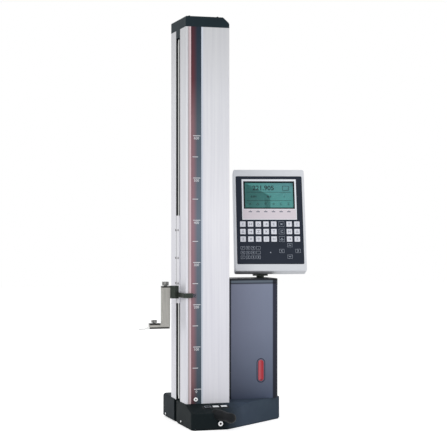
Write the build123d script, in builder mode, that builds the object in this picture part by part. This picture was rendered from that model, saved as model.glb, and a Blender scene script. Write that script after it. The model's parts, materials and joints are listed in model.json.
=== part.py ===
# Motor-driven height gauge: a cast foot on air bearings, a slotted column with a
# counterbalanced measuring carriage, a power housing and a tilting control unit.
# Millimetres. X to the right, Y to the back, Z up from the surface plate.
# Origin: centre of the foot's ground underside.

import os
from math import atan, cos, radians, sin, sqrt

from build123d import *

os.makedirs("parts", exist_ok=True)

# Foot
foot_width = 264
foot_depth = 274
foot_height = 55
nose_height = 39
nose_length = 59
front_width = 89
diagonal_length = 139
front_corner_radius = 10
nose_corner_radius = 8
rear_corner_radius = 12
casting_edge = 1.5
casting_wall = 14
pocket_depth = 32
sole_inset = 2
sole_height = 3
rib_thickness = 10
land_radius = 34
land_inset = 40
groove_radius = 22
groove_width = 3
groove_depth = 0.8
jet_radius = 5
jet_length = 12
jet_hole_radius = 0.6
notch_start = 138
notch_width = 22
notch_depth = 10
rear_cover_width = 111
rear_cover_wall = 3
rear_cover_gap = 0.2
rear_cover_lift = 4
rear_cover_round = 7
rear_cover_proud = 0.5
column_bolt_radius = 3
column_bolt_head = 5
column_bolt_head_height = 6
column_bolt_length = 20
column_bolt_inset = 11

# Column and cap
column_width = 108
column_depth = 139
column_offset = 2
column_top = 948
column_wall = 4.5
column_corner_radius = 3
boss_radius = 7
slot_start = 53
slot_width = 37
rib_box_width = 27
rib_wall = 4
rib_setback = 38
cap_height = 25
cap_shoulder = 16
cap_shoulder_drop = 14
cap_shoulder_radius = 2
cap_pocket_margin = 22
cap_pocket_depth = 18
cap_edge = 1.5
cap_tongue_length = 19
cap_tongue_gap = 0.3

# Guide, measuring strip and front scale
bar_width = 8
bar_start = 60
bar_top_gap = 23
bar_groove = 1.5
bar_groove_from_face = 11
bar_chamfer = 0.5
strip_thickness = 0.6
strip_recess = 1
strip_margin = 8
liner_thickness = 1.2
liner_recess = 0.2
band_start = 12.5
band_width = 25
band_thickness = 0.4
foot_screw_radius = 5
foot_screw_shift = 1.5
foot_screw_rise = 10.5
foot_screw_head = 2
foot_screw_edge = 0.5
foot_screw_shank = 2
foot_screw_socket = 2
foot_screw_socket_depth = 1.2

# Carriage
carriage_bottom = 290
carriage_height = 211
carriage_plate_width = 36
carriage_plate_thickness = 2.2
carriage_standoff = 0.4
carriage_corner = 2
carriage_margin = 10
cheek_gap = 1
cheek_motor_gap = 1.4
cartridge_height = 34
cartridge_width = 16
cartridge_depth = 5
cartridge_gap = 0.1
cartridge_margin = 8
pickup_thickness = 1
pickup_height = 80
plate_screw_head = 2.6
plate_screw_head_height = 0.8
plate_screw_radius = 1.25
plate_screw_depth = 8
plate_screw_rises = (48, 109, 176)
plate_hole_gap = 0.05
clamp_height = 30
clamp_width = 30
clamp_length = 19
clamp_bottom = 302
clamp_shoulder = 10
clamp_round = 3
clamp_edge = 1.5
index_z = 311.5
arm_thickness = 2.5
arm_height = 11
arm_gap_side = 5
arm_gap_front = 3
arm_bend = 5
arm_reach = 15.5
window_length = 8
window_height = 9
window_thickness = 2
window_corner = 1

# Probe holder and stylus
holder_width = 20
holder_depth = 15
holder_bottom = 233.5
holder_top = 328
holder_foot = 5.7
holder_round = 4
holder_edge = 0.8
foot_length = 50
top_plate_thickness = 3.5
jaw_thickness = 3.6
jaw_length = 30
shoe_thickness = 4
holder_screw_radius = 8
holder_screw_head = 9
holder_screw_shank = 3
holder_screw_length = 18
stylus_screw_radius = 6.8
stylus_screw_head = 6
stylus_screw_shank = 2
stylus_screw_length = 9
stylus_screw_inset = 12
thread_gap = 0.05
stylus_root = 7
stylus_taper = 11
stylus_drop = 0.3
stylus_rod = 13
stylus_rod_radius = 1.2
ball_radius = 1.6
plate_corner = 1
collar_height = 1.5
collar_share = 0.5
knurl_radius = 0.7
holder_screw_teeth = 20
stylus_screw_teeth = 16
dish_share = 0.6
dish_depth = 0.8

# Belt drive and counterweight
belt_width = 10
belt_thickness = 1.6
belt_from_front = 26
belt_gap = 0.3
pulley_radius = 29.2
pulley_axis_inset = 45
pulley_flange = 1
pulley_flange_rise = 2.4
pulley_hub_radius = 8
pulley_rim = 3.2
pulley_web = 4
axle_radius = 4
axle_gap = 0.05
lower_axis = 100
upper_axis_drop = 63
bracket_width = 34
bracket_height = 40
bracket_corner = 4
bracket_thickness = 6
axle_side_gap = 0.3
motor_radius = 21
motor_gap = 0.8
motor_edge = 1.5
shaft_end_gap = 0.3
belt_clamp_height = 24
belt_clamp_width = 12
belt_clamp_jaw = 2.4
belt_clamp_z = 395
weight_left = 22
weight_right = 24
weight_front = 7.5
weight_back = 27
weight_height = 80
weight_middle = 572
weight_gap = 0.5
weight_edge = 3

# Power housing
housing_width = 141
housing_depth = 95
housing_top = 347.5
housing_inset = 2
housing_setback = 55
housing_wall = 3
housing_corner_radius = 10
lid_height = 10
lid_edge = 2
door_width = 100
door_height = 200
door_base = 35
door_thickness = 2.5
door_corner = 6
door_gap = 0.3
door_slots = 8
door_slot_pitch = 7
door_slot_length = 50
door_slot_width = 2.5
door_screw_inset = 7
door_screw_radius = 2.8
door_screw_sink = 1.2
lens_width = 14.5
lens_length = 52
lens_low = 42
lens_from_right = 46
lens_proud = 1.6
lens_gap = 0.2
lens_edge = 1.4
lens_flange = 2
pack_margin = 8
battery_width = 84
battery_depth = 52
battery_height = 76
battery_corner = 4
pump_radius = 24
pump_length = 78
pump_head = 14
circuit_thickness = 1.6
circuit_width_y = 70
circuit_height = 150
board_standoff = 6
board_corner = 2
board_peg_inset = 10
board_peg_radius = 2.5

# Control unit
neck_x = 95
neck_y = 42
neck_radius = 9.5
spigot_radius = 7
neck_boss_radius = 13
neck_gap = 0.3
tilt_axis_rise = 26.5
swivel_angle = 13.5
tilt_angle = 16
fork_gap = 24.6
fork_ear = 6
fork_radius = 9
fork_floor = 4
fork_relief = 1.5
pin_head = 1.5
tilt_pin_radius = 3
lug_width = 24
lug_radius = 8
lug_plate = 3
lug_plate_margin = 12
lug_plate_height = 34
lug_corner = 4
lug_neck_share = 0.8
lug_web = 1
hinge_offset = -22
hinge_height = 24
hinge_setback = 52
unit_width = 178
unit_depth = 35
unit_wall = 3
unit_corner_radius = 5
unit_split = 16
unit_edge = 2.5
foil_width = 166
foil_border = 17.5
foil_head = 8
foil_thickness = 0.8
foil_recess = 1.2
foil_corner = 3
foil_gap = 0.2
screen_gap = 0.2
bezel_proud = 0.2
glass_sink = 0.2
unit_rear_edge = 4
unit_screw_inset = 9
unit_screw_radius = 3
unit_screw_sink = 2
vent_count = 7
vent_pitch = 8
vent_length = 80
vent_width = 3
vent_from_top = 60
bezel_width = 136
bezel_height = 105
bezel_gap = 4.85
screen_frame_width = 128
screen_frame_height = 72
screen_head = 5
screen_width = 121
screen_height = 65
screen_depth = 7
glass_thickness = 1.6
key_size = 13.5
key_pitch = 19.2
key_rise = 0.8
dark_key_rise = 0.5
key_corner = 1
key_columns = 8
key_rows = 3
white_columns_left = 5
key_to_digit_gap = 11.75
key_first = -67.2
digit_width = 10
digit_height = 8
digit_columns = 4
digit_rows = 3
digit_pitch_x = 12.8
digit_pitch_y = 12
digit_first_x = -68.5
digit_margin = 13.5
arrow_x = 48
arrow_rise = 4
arrow_width = 12
arrow_height = 9.5
arrow_reach_x = 20
arrow_reach_y = 14.5
board_width = 150
board_end_margin = 21
port_width = 31
port_height = 12
port_depth = 8
port_rim = 3
port_corner = 2
port_low = 60
port_pitch = 44

# Keys, grip, supply socket and side screws on the foot
quick_key_width = 16
quick_key_length = 9
quick_key_corner = 1.5
quick_key_proud = 1.8
quick_key_travel = 1.5
quick_key_gap = 0.4
quick_key_flange = 1.2
quick_key_edge = 0.8
quick_key_pitch = 20
quick_key_first = 48.5
quick_key_from_front = 36
key_frame_width = 66
key_frame_length = 18
key_frame_corner = 3
key_frame_thickness = 3
key_flange_thickness = 1.5
key_flange_gap = 0.2
dome_height = 0.2
dome_radius = 3
dome_gap = 0.1
switch_board_thickness = 1.6
grip_x = -65
grip_z = 35
grip_yaw = 25
grip_drop = 5
grip_length = 52
grip_root_radius = 12.5
grip_waist_radius = 10.8
grip_nose_radius = 11.8
grip_waist_at = 23.4
grip_bury = 24
socket_x = -62.5
socket_z = 14.5
socket_radius = 5.7
socket_bore = 2.8
socket_length = 12
socket_bore_depth = 9
socket_proud = 1
recess_radius = 9.5
recess_depth = 1.5

# An edge is picked when its middle passes a limit by this much
edge_margin = 1

# Places worked out from the sizes above
foot_left = -foot_width / 2
foot_right = foot_width / 2
foot_front = -foot_depth / 2
foot_back = foot_depth / 2
slope_radians = atan((foot_height - nose_height) / nose_length)
notch_front = foot_front + notch_start
notch_back = notch_front + notch_width
rear_cover_left = foot_left - rear_cover_proud
rear_cover_right = rear_cover_left + rear_cover_width + rear_cover_proud
rear_seat_left = rear_cover_left + rear_cover_wall + rear_cover_gap
rear_seat_back = foot_back - rear_cover_wall - rear_cover_gap
column_left = foot_left + column_offset
column_right = column_left + column_width
column_front = foot_front + nose_length
column_back = column_front + column_depth
column_x = (column_left + column_right) / 2
column_y = (column_front + column_back) / 2
bolt_spread_x = column_width - 2 * column_bolt_inset
bolt_spread_y = column_depth - 2 * column_bolt_inset
slot_front = column_front + slot_start
slot_back = slot_front + slot_width
slot_y = (slot_front + slot_back) / 2
rib_face = column_left + rib_setback
rib_front = slot_y - rib_box_width / 2
rib_back = slot_y + rib_box_width / 2
strip_face = column_left + strip_recess
bar_face = strip_face + strip_thickness
bar_front = slot_y - bar_width / 2
bar_back = slot_y + bar_width / 2
bar_top = column_top - bar_top_gap
bar_length = bar_top - bar_start
foot_screw_x = column_left + band_start + band_width / 2 - foot_screw_shift
foot_screw_z = foot_height + foot_screw_rise
cap_top = column_top + cap_height
carriage_inner = column_left - carriage_standoff
carriage_outer = carriage_inner - carriage_plate_thickness
cheek_front = slot_front + liner_thickness + cheek_gap
cheek_back = slot_back - liner_thickness - cheek_gap
cheek_low = carriage_bottom + carriage_margin
cheek_top = carriage_bottom + carriage_height - carriage_margin
pulley_x = column_left + pulley_axis_inset
cheek_end = pulley_x - motor_radius - cheek_motor_gap
cartridge_front = bar_front - cartridge_gap - cartridge_depth
cartridge_back = bar_back + cartridge_gap + cartridge_depth
cartridge_x = (carriage_inner + cheek_end) / 2
arm_x = column_left - arm_gap_side
arm_y = column_front - arm_gap_front
arm_end = column_left + arm_reach
clamp_face = carriage_outer - clamp_length
holder_right = clamp_face
holder_left = holder_right - holder_width
holder_front = slot_y - holder_depth / 2
holder_back = slot_y + holder_depth / 2
foot_end = holder_right - foot_length
shoe_top = holder_bottom
shoe_bottom = shoe_top - shoe_thickness
jaw_bottom = holder_bottom + holder_foot
jaw_end = foot_end + jaw_length - holder_round
stylus_z = shoe_bottom - stylus_drop
stylus_neck_x = foot_end - stylus_taper
stylus_low = stylus_z - stylus_rod_radius
ball_x = stylus_neck_x - stylus_rod
ball_join_x = ball_x + sqrt(ball_radius**2 - stylus_rod_radius**2)
stylus_screw_x = foot_end + stylus_screw_inset
holder_screw_x = (holder_left + holder_right) / 2
upper_axis = column_top - upper_axis_drop
belt_y = column_front + belt_from_front
belt_front = belt_y - belt_width / 2
belt_back = belt_y + belt_width / 2
belt_inner = pulley_radius + belt_gap
belt_outer = belt_inner + belt_thickness
pulley_half = belt_width / 2 + belt_gap
pulley_end = pulley_half + pulley_flange
axle_shoulder = belt_y - pulley_end - axle_side_gap
belt_near_x = pulley_x - (belt_inner + belt_outer) / 2
belt_far_x = pulley_x + (belt_inner + belt_outer) / 2
housing_left = column_right + housing_inset
housing_right = housing_left + housing_width
housing_front = column_front + housing_setback
housing_back = housing_front + housing_depth
housing_x = (housing_left + housing_right) / 2
housing_y = (housing_front + housing_back) / 2
lid_bottom = housing_top - lid_height
lens_x = housing_right - lens_from_right
lens_z = foot_height + lens_low + lens_length / 2
door_z = foot_height + door_base + door_height / 2
tilt_axis_z = housing_top + tilt_axis_rise
key_y = foot_front + quick_key_from_front
key_slope_z = nose_height + (foot_height - nose_height) * quick_key_from_front / nose_length
key_middle_x = foot_left + quick_key_first + quick_key_pitch
key_pocket_depth = (
    key_frame_thickness
    + key_flange_gap
    + key_flange_thickness
    + quick_key_travel
    + dome_gap
    + dome_height
    + switch_board_thickness
)
digit_low = foil_border + digit_margin + digit_height / 2
digit_middle = digit_low + digit_pitch_y * (digit_rows - 1) / 2
digit_top = digit_low + digit_pitch_y * (digit_rows - 1) + digit_height / 2
arrow_y = digit_middle + arrow_rise
key_row_low = digit_top + key_to_digit_gap + key_size / 2
bezel_low = key_row_low + (key_rows - 1) * key_pitch + key_size / 2 + bezel_gap
bezel_top = bezel_low + bezel_height
foil_top = bezel_top + foil_head
foil_height = foil_top - foil_border
unit_height = foil_top + foil_border
foil_middle = unit_height / 2
board_height = unit_height - 2 * board_end_margin
screen_middle = bezel_top - screen_head - screen_frame_height / 2
vent_middle = unit_height - vent_from_top

# Directions of the sloping and turned pieces
slope_plane = Plane(
    origin=(key_middle_x, key_y, key_slope_z),
    x_dir=(1, 0, 0),
    z_dir=(0, -sin(slope_radians), cos(slope_radians)),
)
grip_axis = (
    sin(radians(grip_yaw)) * cos(radians(grip_drop)),
    -cos(radians(grip_yaw)) * cos(radians(grip_drop)),
    -sin(radians(grip_drop)),
)
grip_across = (cos(radians(grip_yaw)), sin(radians(grip_yaw)), 0)
grip_plane = Plane(origin=(grip_x, foot_front, grip_z), x_dir=grip_across, z_dir=grip_axis)
unit_across = (cos(radians(swivel_angle)), -sin(radians(swivel_angle)), 0)
unit_normal = (
    -sin(radians(swivel_angle)) * cos(radians(tilt_angle)),
    -cos(radians(swivel_angle)) * cos(radians(tilt_angle)),
    sin(radians(tilt_angle)),
)
tilt_point = (neck_x, neck_y, tilt_axis_z)
hinge_plane = Plane(origin=tilt_point, x_dir=unit_across, z_dir=unit_normal)
unit_plane = Plane(
    origin=hinge_plane.from_local_coords((-hinge_offset, -hinge_height, hinge_setback)),
    x_dir=unit_across,
    z_dir=unit_normal,
)
fork_plane = Plane(origin=tilt_point, x_dir=(0, 0, 1), z_dir=unit_across)
unit_axis = Axis(unit_plane.origin, unit_plane.z_dir)
slope_axis = Axis(slope_plane.origin, slope_plane.z_dir)
grip_side = grip_plane.x_dir.cross(grip_plane.z_dir)
grip_shoulder = (grip_nose_radius, grip_length - grip_nose_radius)
grip_heel = (grip_root_radius, grip_root_radius - grip_bury)

casting_corners = [
    (foot_left, foot_front, front_corner_radius),
    (foot_left + front_width, foot_front, nose_corner_radius),
    (foot_right, foot_front + diagonal_length, nose_corner_radius),
    (foot_right, foot_back, rear_corner_radius),
    (rear_cover_right, foot_back, 0),
    (rear_cover_right, rear_seat_back, 0),
    (rear_seat_left, rear_seat_back, rear_corner_radius - rear_cover_wall),
    (rear_seat_left, notch_back, 0),
    (foot_left + notch_depth, notch_back, 0),
    (foot_left + notch_depth, notch_front, 0),
    (foot_left, notch_front, 0),
]
land_centres = [
    (foot_left + land_inset, foot_front + land_inset),
    (foot_right - land_inset, foot_front + diagonal_length + land_inset / 2),
    (foot_left + land_inset, foot_back - land_inset),
]
plate_screw_places = [
    (y, carriage_bottom + rise)
    for rise in plate_screw_rises
    for y in ((cheek_front + bar_front - cheek_gap) / 2, (cheek_back + bar_back + cheek_gap) / 2)
]
cartridge_places = [
    (cartridge_x, cheek_low + cartridge_margin + cartridge_height / 2),
    (cartridge_x, cheek_top - cartridge_margin - cartridge_height / 2),
]
key_places = [
    [(key_first + column * key_pitch, key_row_low + row * key_pitch) for row in range(key_rows)]
    for column in range(key_columns)
]
white_key_places = [
    place for column, places in enumerate(key_places) if column != white_columns_left for place in places
]
dark_key_places = key_places[white_columns_left]
digit_places = [
    (digit_first_x + column * digit_pitch_x, digit_low + row * digit_pitch_y)
    for column in range(digit_columns)
    for row in range(digit_rows)
]
arrow_places = [
    (arrow_x - arrow_reach_x, arrow_y),
    (arrow_x + arrow_reach_x, arrow_y),
    (arrow_x, arrow_y - arrow_reach_y),
    (arrow_x, arrow_y + arrow_reach_y),
]
port_places = [(hinge_offset + side * port_pitch / 2 + port_pitch, port_low) for side in (-1, 1)]


def outline(corners):
    """Face of the current sketch from (x, y, corner radius) points."""
    with BuildLine() as border:
        FilletPolyline(
            *[(x, y) for x, y, _ in corners], radius=[r for _, _, r in corners], close=True
        )
    make_face(border.edges())


def span(x_low, x_high, y_low, y_high, mode=Mode.ADD):
    """Rectangle of the current sketch between its limits."""
    with Locations(((x_low + x_high) / 2, (y_low + y_high) / 2)):
        Rectangle(x_high - x_low, y_high - y_low, mode=mode)


def rounded_span(x_low, x_high, y_low, y_high, radius, mode=Mode.ADD):
    """Rectangle with rounded corners of the current sketch between its limits."""
    with Locations(((x_low + x_high) / 2, (y_low + y_high) / 2)):
        RectangleRounded(x_high - x_low, y_high - y_low, radius, mode=mode)


def save(builder, name):
    """Label a finished piece and write its STEP file."""
    builder.part.label = name
    export_step(builder.part, f"parts/{name}.step")


# Foot: one ribbed casting with a sloping nose, open underneath
with BuildPart() as base_casting:
    with BuildSketch():
        outline(casting_corners)
    extrude(amount=foot_height)
    with BuildSketch(Plane.YZ.offset(foot_left)):
        with BuildLine():
            Polyline(
                (foot_front, nose_height),
                (column_front, foot_height),
                (foot_front, foot_height),
                close=True,
            )
        make_face()
    extrude(amount=foot_width, mode=Mode.SUBTRACT)
    upper_edges = base_casting.edges().filter_by(lambda e: e.center().Z > nose_height - edge_margin)
    rim_edges = upper_edges.filter_by(lambda e: abs(e.center().Y - column_front) > edge_margin)
    free_edges = rim_edges.filter_by(
        lambda e: e.center().Y < notch_front - edge_margin or e.center().X > rear_cover_right + edge_margin
    )
    fillet(free_edges, radius=casting_edge)
    with BuildSketch():
        outline(casting_corners)
        offset(amount=-sole_inset, kind=Kind.INTERSECTION, mode=Mode.SUBTRACT)
    extrude(amount=sole_height, mode=Mode.SUBTRACT)
    with BuildSketch():
        outline(casting_corners)
        offset(amount=-casting_wall, kind=Kind.INTERSECTION, mode=Mode.REPLACE)
        Rectangle(rib_thickness, foot_depth, mode=Mode.SUBTRACT)
        Rectangle(foot_width, rib_thickness, mode=Mode.SUBTRACT)
        with Locations(*land_centres):
            Circle(land_radius, mode=Mode.SUBTRACT)
    extrude(amount=pocket_depth, mode=Mode.SUBTRACT)
    with BuildSketch():
        with Locations(*land_centres):
            Circle(groove_radius + groove_width / 2)
            Circle(groove_radius - groove_width / 2, mode=Mode.SUBTRACT)
    extrude(amount=groove_depth, mode=Mode.SUBTRACT)
    with BuildSketch():
        with Locations(*land_centres):
            Circle(jet_radius)
    extrude(amount=jet_length, mode=Mode.SUBTRACT)
    with Locations((column_x, column_y)):
        with GridLocations(bolt_spread_x, bolt_spread_y, 2, 2):
            Cylinder(
                column_bolt_radius + thread_gap,
                foot_height,
                align=(Align.CENTER, Align.CENTER, Align.MIN),
                mode=Mode.SUBTRACT,
            )
            Cylinder(
                column_bolt_head + plate_hole_gap,
                pocket_depth,
                align=(Align.CENTER, Align.CENTER, Align.MIN),
                mode=Mode.SUBTRACT,
            )
    with BuildSketch(slope_plane):
        RectangleRounded(key_frame_width, key_frame_length, key_frame_corner)
    extrude(amount=-key_pocket_depth, mode=Mode.SUBTRACT)
    with BuildSketch(Plane.XZ.offset(-foot_front)):
        with Locations((socket_x, socket_z)):
            Circle(recess_radius)
    extrude(amount=-recess_depth, mode=Mode.SUBTRACT)
    with BuildSketch(Plane.XZ.offset(-foot_front)):
        with Locations((socket_x, socket_z)):
            Circle(socket_radius)
    extrude(amount=-recess_depth - socket_length, mode=Mode.SUBTRACT)
save(base_casting, "base_casting")

# Three brass jets feed the air film under the foot
with BuildPart() as air_jets:
    with BuildSketch(Plane.XY.offset(groove_depth)):
        with Locations(*land_centres):
            Circle(jet_radius)
            Circle(jet_hole_radius, mode=Mode.SUBTRACT)
    extrude(amount=jet_length - groove_depth)
save(air_jets, "air_jets")

# Moulded cover over the rear left of the casting, cut out round the column
with BuildPart() as rear_cover:
    with BuildSketch(Plane.XY.offset(rear_cover_lift)):
        outline(
            [
                (rear_cover_left, notch_back, 0),
                (rear_cover_right, notch_back, 0),
                (rear_cover_right, foot_back, 0),
                (rear_cover_left, foot_back, rear_corner_radius),
            ]
        )
    extrude(amount=foot_height + rear_cover_wall - rear_cover_lift)
    rear_rim = rear_cover.faces().sort_by(Axis.Z)[-1].edges()
    fillet(
        rear_rim.filter_by(
            lambda e: e.center().X < rear_cover_left + rear_corner_radius
            or e.center().Y > foot_back - edge_margin
        ),
        radius=rear_cover_round,
    )
    with BuildSketch(Plane.XY.offset(rear_cover_lift)):
        outline(
            [
                (rear_cover_left + rear_cover_wall, notch_back, 0),
                (rear_cover_right, notch_back, 0),
                (rear_cover_right, foot_back - rear_cover_wall, 0),
                (
                    rear_cover_left + rear_cover_wall,
                    foot_back - rear_cover_wall,
                    rear_corner_radius - rear_cover_wall,
                ),
            ]
        )
    extrude(amount=foot_height + rear_cover_gap - rear_cover_lift, mode=Mode.SUBTRACT)
    with BuildSketch():
        span(
            column_left - rear_cover_gap,
            column_right + rear_cover_gap,
            column_front,
            column_back + rear_cover_gap,
        )
    extrude(amount=foot_height + rear_cover_wall, mode=Mode.SUBTRACT)
save(rear_cover, "rear_cover")

# Bolts that hold the column down, heads in the pocket
with BuildPart() as column_bolts:
    with Locations((column_x, column_y, pocket_depth)):
        with GridLocations(bolt_spread_x, bolt_spread_y, 2, 2):
            Cylinder(
                column_bolt_radius,
                column_bolt_length + foot_height - pocket_depth,
                align=(Align.CENTER, Align.CENTER, Align.MIN),
            )
            Cylinder(
                column_bolt_head,
                column_bolt_head_height,
                align=(Align.CENTER, Align.CENTER, Align.MAX),
            )
save(column_bolts, "column_bolts")


# Column: slotted extrusion with a box rib for the guide and four bolt bosses
with BuildPart() as column_profile:
    with BuildSketch(Plane.XY.offset(foot_height)):
        with Locations((column_x, column_y)):
            RectangleRounded(column_width, column_depth, column_corner_radius)
            Rectangle(
                column_width - 2 * column_wall, column_depth - 2 * column_wall, mode=Mode.SUBTRACT
            )
            with GridLocations(bolt_spread_x, bolt_spread_y, 2, 2):
                Circle(boss_radius)
        span(rib_face, column_right - column_wall / 2, rib_front, rib_back)
        span(
            rib_face + rib_wall,
            column_right - column_wall,
            rib_front + rib_wall,
            rib_back - rib_wall,
            mode=Mode.SUBTRACT,
        )
        with Locations((column_x, column_y)):
            with GridLocations(bolt_spread_x, bolt_spread_y, 2, 2):
                Circle(column_bolt_radius + thread_gap, mode=Mode.SUBTRACT)
        span(column_left, column_left + column_wall, slot_front, slot_back, mode=Mode.SUBTRACT)
    extrude(amount=column_top - foot_height)
    with BuildSketch(Plane.XZ.offset(-column_front)):
        with Locations((foot_screw_x, foot_screw_z)):
            Circle(foot_screw_shank)
    extrude(amount=-column_wall, mode=Mode.SUBTRACT)
save(column_profile, "column_profile")

# Cap: hollow top cover with a sloping right shoulder and a tongue that closes the slot
with BuildPart() as column_cap:
    with BuildSketch(Plane.XZ.offset(-column_front)):
        outline(
            [
                (column_left, column_top, 0),
                (column_right, column_top, 0),
                (column_right, cap_top - cap_shoulder_drop, 0),
                (column_right - cap_shoulder, cap_top, cap_shoulder_radius),
                (column_left, cap_top, 0),
            ]
        )
    extrude(amount=-column_depth)
    upright = column_cap.edges().filter_by(Axis.Z)
    fillet(upright, radius=column_corner_radius)
    cap_rim = column_cap.faces().sort_by(Axis.Z)[-1].edges()
    chamfer(
        cap_rim.filter_by(lambda e: e.center().X < column_right - cap_shoulder - edge_margin),
        length=cap_edge,
    )
    with BuildSketch(Plane.XY.offset(column_top)):
        with Locations((column_x, column_y)):
            Rectangle(column_width - 2 * cap_shoulder, column_depth - 2 * cap_pocket_margin)
    extrude(amount=cap_pocket_depth, mode=Mode.SUBTRACT)
    with BuildSketch(Plane.XY.offset(column_top)):
        span(
            column_left,
            column_left + column_wall,
            slot_front + cap_tongue_gap,
            slot_back - cap_tongue_gap,
        )
    extrude(amount=-cap_tongue_length)
save(column_cap, "column_cap")

# Guide bar in the middle of the slot, fixed to the box rib
with BuildPart() as guide_bar:
    with BuildSketch(Plane.XY.offset(bar_start)):
        span(bar_face, rib_face, bar_front, bar_back)
        for y in (bar_front, bar_back):
            with Locations((bar_face + bar_groove_from_face, y)):
                Circle(bar_groove, mode=Mode.SUBTRACT)
    extrude(amount=bar_length)
    chamfer(guide_bar.edges().filter_by(Axis.Z).group_by(Axis.X)[0], length=bar_chamfer)
save(guide_bar, "guide_bar")

# Steel measuring strip bonded to the nose of the guide bar
with BuildPart() as measuring_strip:
    with BuildSketch(Plane.YZ.offset(strip_face)):
        span(
            bar_front + bar_chamfer,
            bar_back - bar_chamfer,
            bar_start + strip_margin,
            bar_top - strip_margin,
        )
    extrude(amount=strip_thickness)
save(measuring_strip, "measuring_strip")

# Black liners on the two jambs of the slot
with BuildPart() as slot_liners:
    with BuildSketch(Plane.XY.offset(foot_height)):
        for y in (slot_front + liner_thickness / 2, slot_back - liner_thickness / 2):
            span(
                column_left + liner_recess,
                column_left + column_wall,
                y - liner_thickness / 2,
                y + liner_thickness / 2,
            )
    extrude(amount=column_top - cap_tongue_length - foot_height)
save(slot_liners, "slot_liners")

# Printed scale on the column's front face
with BuildPart() as scale_band:
    with BuildSketch(Plane.XZ.offset(-column_front)):
        span(
            column_left + band_start,
            column_left + band_start + band_width,
            foot_height,
            column_top,
        )
        with Locations((foot_screw_x, foot_screw_z)):
            Circle(foot_screw_shank, mode=Mode.SUBTRACT)
    extrude(amount=band_thickness)
save(scale_band, "scale_band")

with BuildPart() as scale_screw:
    with BuildSketch(Plane.XZ.offset(-column_front + band_thickness)):
        with Locations((foot_screw_x, foot_screw_z)):
            Circle(foot_screw_radius)
    extrude(amount=foot_screw_head)
    chamfer(scale_screw.faces().sort_by(Axis.Y)[0].edges(), length=foot_screw_edge)
    with BuildSketch(Plane.XZ.offset(-column_front + band_thickness + foot_screw_head)):
        with Locations((foot_screw_x, foot_screw_z)):
            RegularPolygon(foot_screw_socket, 6)
    extrude(amount=-foot_screw_socket_depth, mode=Mode.SUBTRACT)
    with BuildSketch(Plane.XZ.offset(-column_front + band_thickness)):
        with Locations((foot_screw_x, foot_screw_z)):
            Circle(foot_screw_shank - plate_hole_gap)
    extrude(amount=-band_thickness - column_wall)
save(scale_screw, "scale_screw")

# Carriage plate: runs just in front of the slot
with BuildPart() as carriage_plate:
    with BuildSketch(Plane.YZ.offset(carriage_outer)):
        rounded_span(
            slot_y - carriage_plate_width / 2,
            slot_y + carriage_plate_width / 2,
            carriage_bottom,
            carriage_bottom + carriage_height,
            carriage_corner,
        )
        with Locations(*plate_screw_places):
            Circle(plate_screw_radius + plate_hole_gap, mode=Mode.SUBTRACT)
    extrude(amount=carriage_plate_thickness)
save(carriage_plate, "carriage_plate")

# Two cheeks reach through the slot on either side of the guide bar
with BuildPart() as carriage_cheeks:
    with BuildSketch(Plane.XY.offset(cheek_low)):
        span(carriage_inner, cheek_end, cheek_front, bar_front - cheek_gap)
        span(carriage_inner, cheek_end, bar_back + cheek_gap, cheek_back)
    extrude(amount=cheek_top - cheek_low)
    with BuildSketch(Plane.XZ.offset(-cartridge_front)):
        with Locations(*cartridge_places):
            Rectangle(cartridge_width, cartridge_height)
    extrude(amount=cartridge_front - cartridge_back, mode=Mode.SUBTRACT)
    with BuildSketch(Plane.YZ.offset(carriage_inner)):
        with Locations(*plate_screw_places):
            Circle(plate_screw_radius + plate_hole_gap)
    extrude(amount=plate_screw_depth, mode=Mode.SUBTRACT)
save(carriage_cheeks, "carriage_cheeks")

# Roller cartridges that run on the sides of the guide bar
with BuildPart() as roller_cartridges:
    with BuildSketch(Plane.XZ.offset(-cartridge_front)):
        with Locations(*cartridge_places):
            Rectangle(cartridge_width, cartridge_height)
    extrude(amount=cartridge_front - cartridge_back)
    with BuildSketch(Plane.XY.offset(cheek_low)):
        span(carriage_inner, cheek_end, bar_front - cartridge_gap, bar_back + cartridge_gap)
    extrude(amount=cheek_top - cheek_low, mode=Mode.SUBTRACT)
save(roller_cartridges, "roller_cartridges")

with BuildPart() as carriage_screws:
    with BuildSketch(Plane.YZ.offset(carriage_outer)):
        with Locations(*plate_screw_places):
            Circle(plate_screw_radius)
    extrude(amount=carriage_plate_thickness + plate_screw_depth)
    with BuildSketch(Plane.YZ.offset(carriage_outer)):
        with Locations(*plate_screw_places):
            Circle(plate_screw_head)
    extrude(amount=-plate_screw_head_height)
save(carriage_screws, "carriage_screws")

# Flat pick-up behind the plate, facing the measuring strip
with BuildPart() as pickup_board:
    with BuildSketch(Plane.YZ.offset(carriage_inner)):
        span(
            bar_front - cheek_gap,
            bar_back + cheek_gap,
            cheek_low,
            cheek_low + pickup_height,
        )
    extrude(amount=pickup_thickness)
save(pickup_board, "pickup_board")

# Arm from the front cheek that grips the near strand of the belt
with BuildPart() as belt_clamp:
    with BuildSketch(Plane.XY.offset(belt_clamp_z - belt_clamp_height / 2)):
        span(
            belt_near_x - belt_clamp_width / 2,
            belt_near_x + belt_clamp_width / 2,
            belt_front - belt_clamp_jaw,
            cheek_front,
        )
        span(
            pulley_x - belt_outer - belt_gap,
            pulley_x - belt_inner + belt_gap,
            belt_front - belt_gap,
            belt_back + belt_gap,
            mode=Mode.SUBTRACT,
        )
    extrude(amount=belt_clamp_height)
save(belt_clamp, "belt_clamp")

# Toothed belt: one closed loop over both pulleys
with BuildPart() as drive_belt:
    with BuildSketch(Plane.XZ.offset(-belt_back)):
        with Locations((pulley_x, (upper_axis + lower_axis) / 2)):
            SlotCenterToCenter(upper_axis - lower_axis, 2 * belt_outer, rotation=90)
            SlotCenterToCenter(
                upper_axis - lower_axis, 2 * belt_inner, rotation=90, mode=Mode.SUBTRACT
            )
    extrude(amount=belt_width)
save(drive_belt, "drive_belt")


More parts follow.
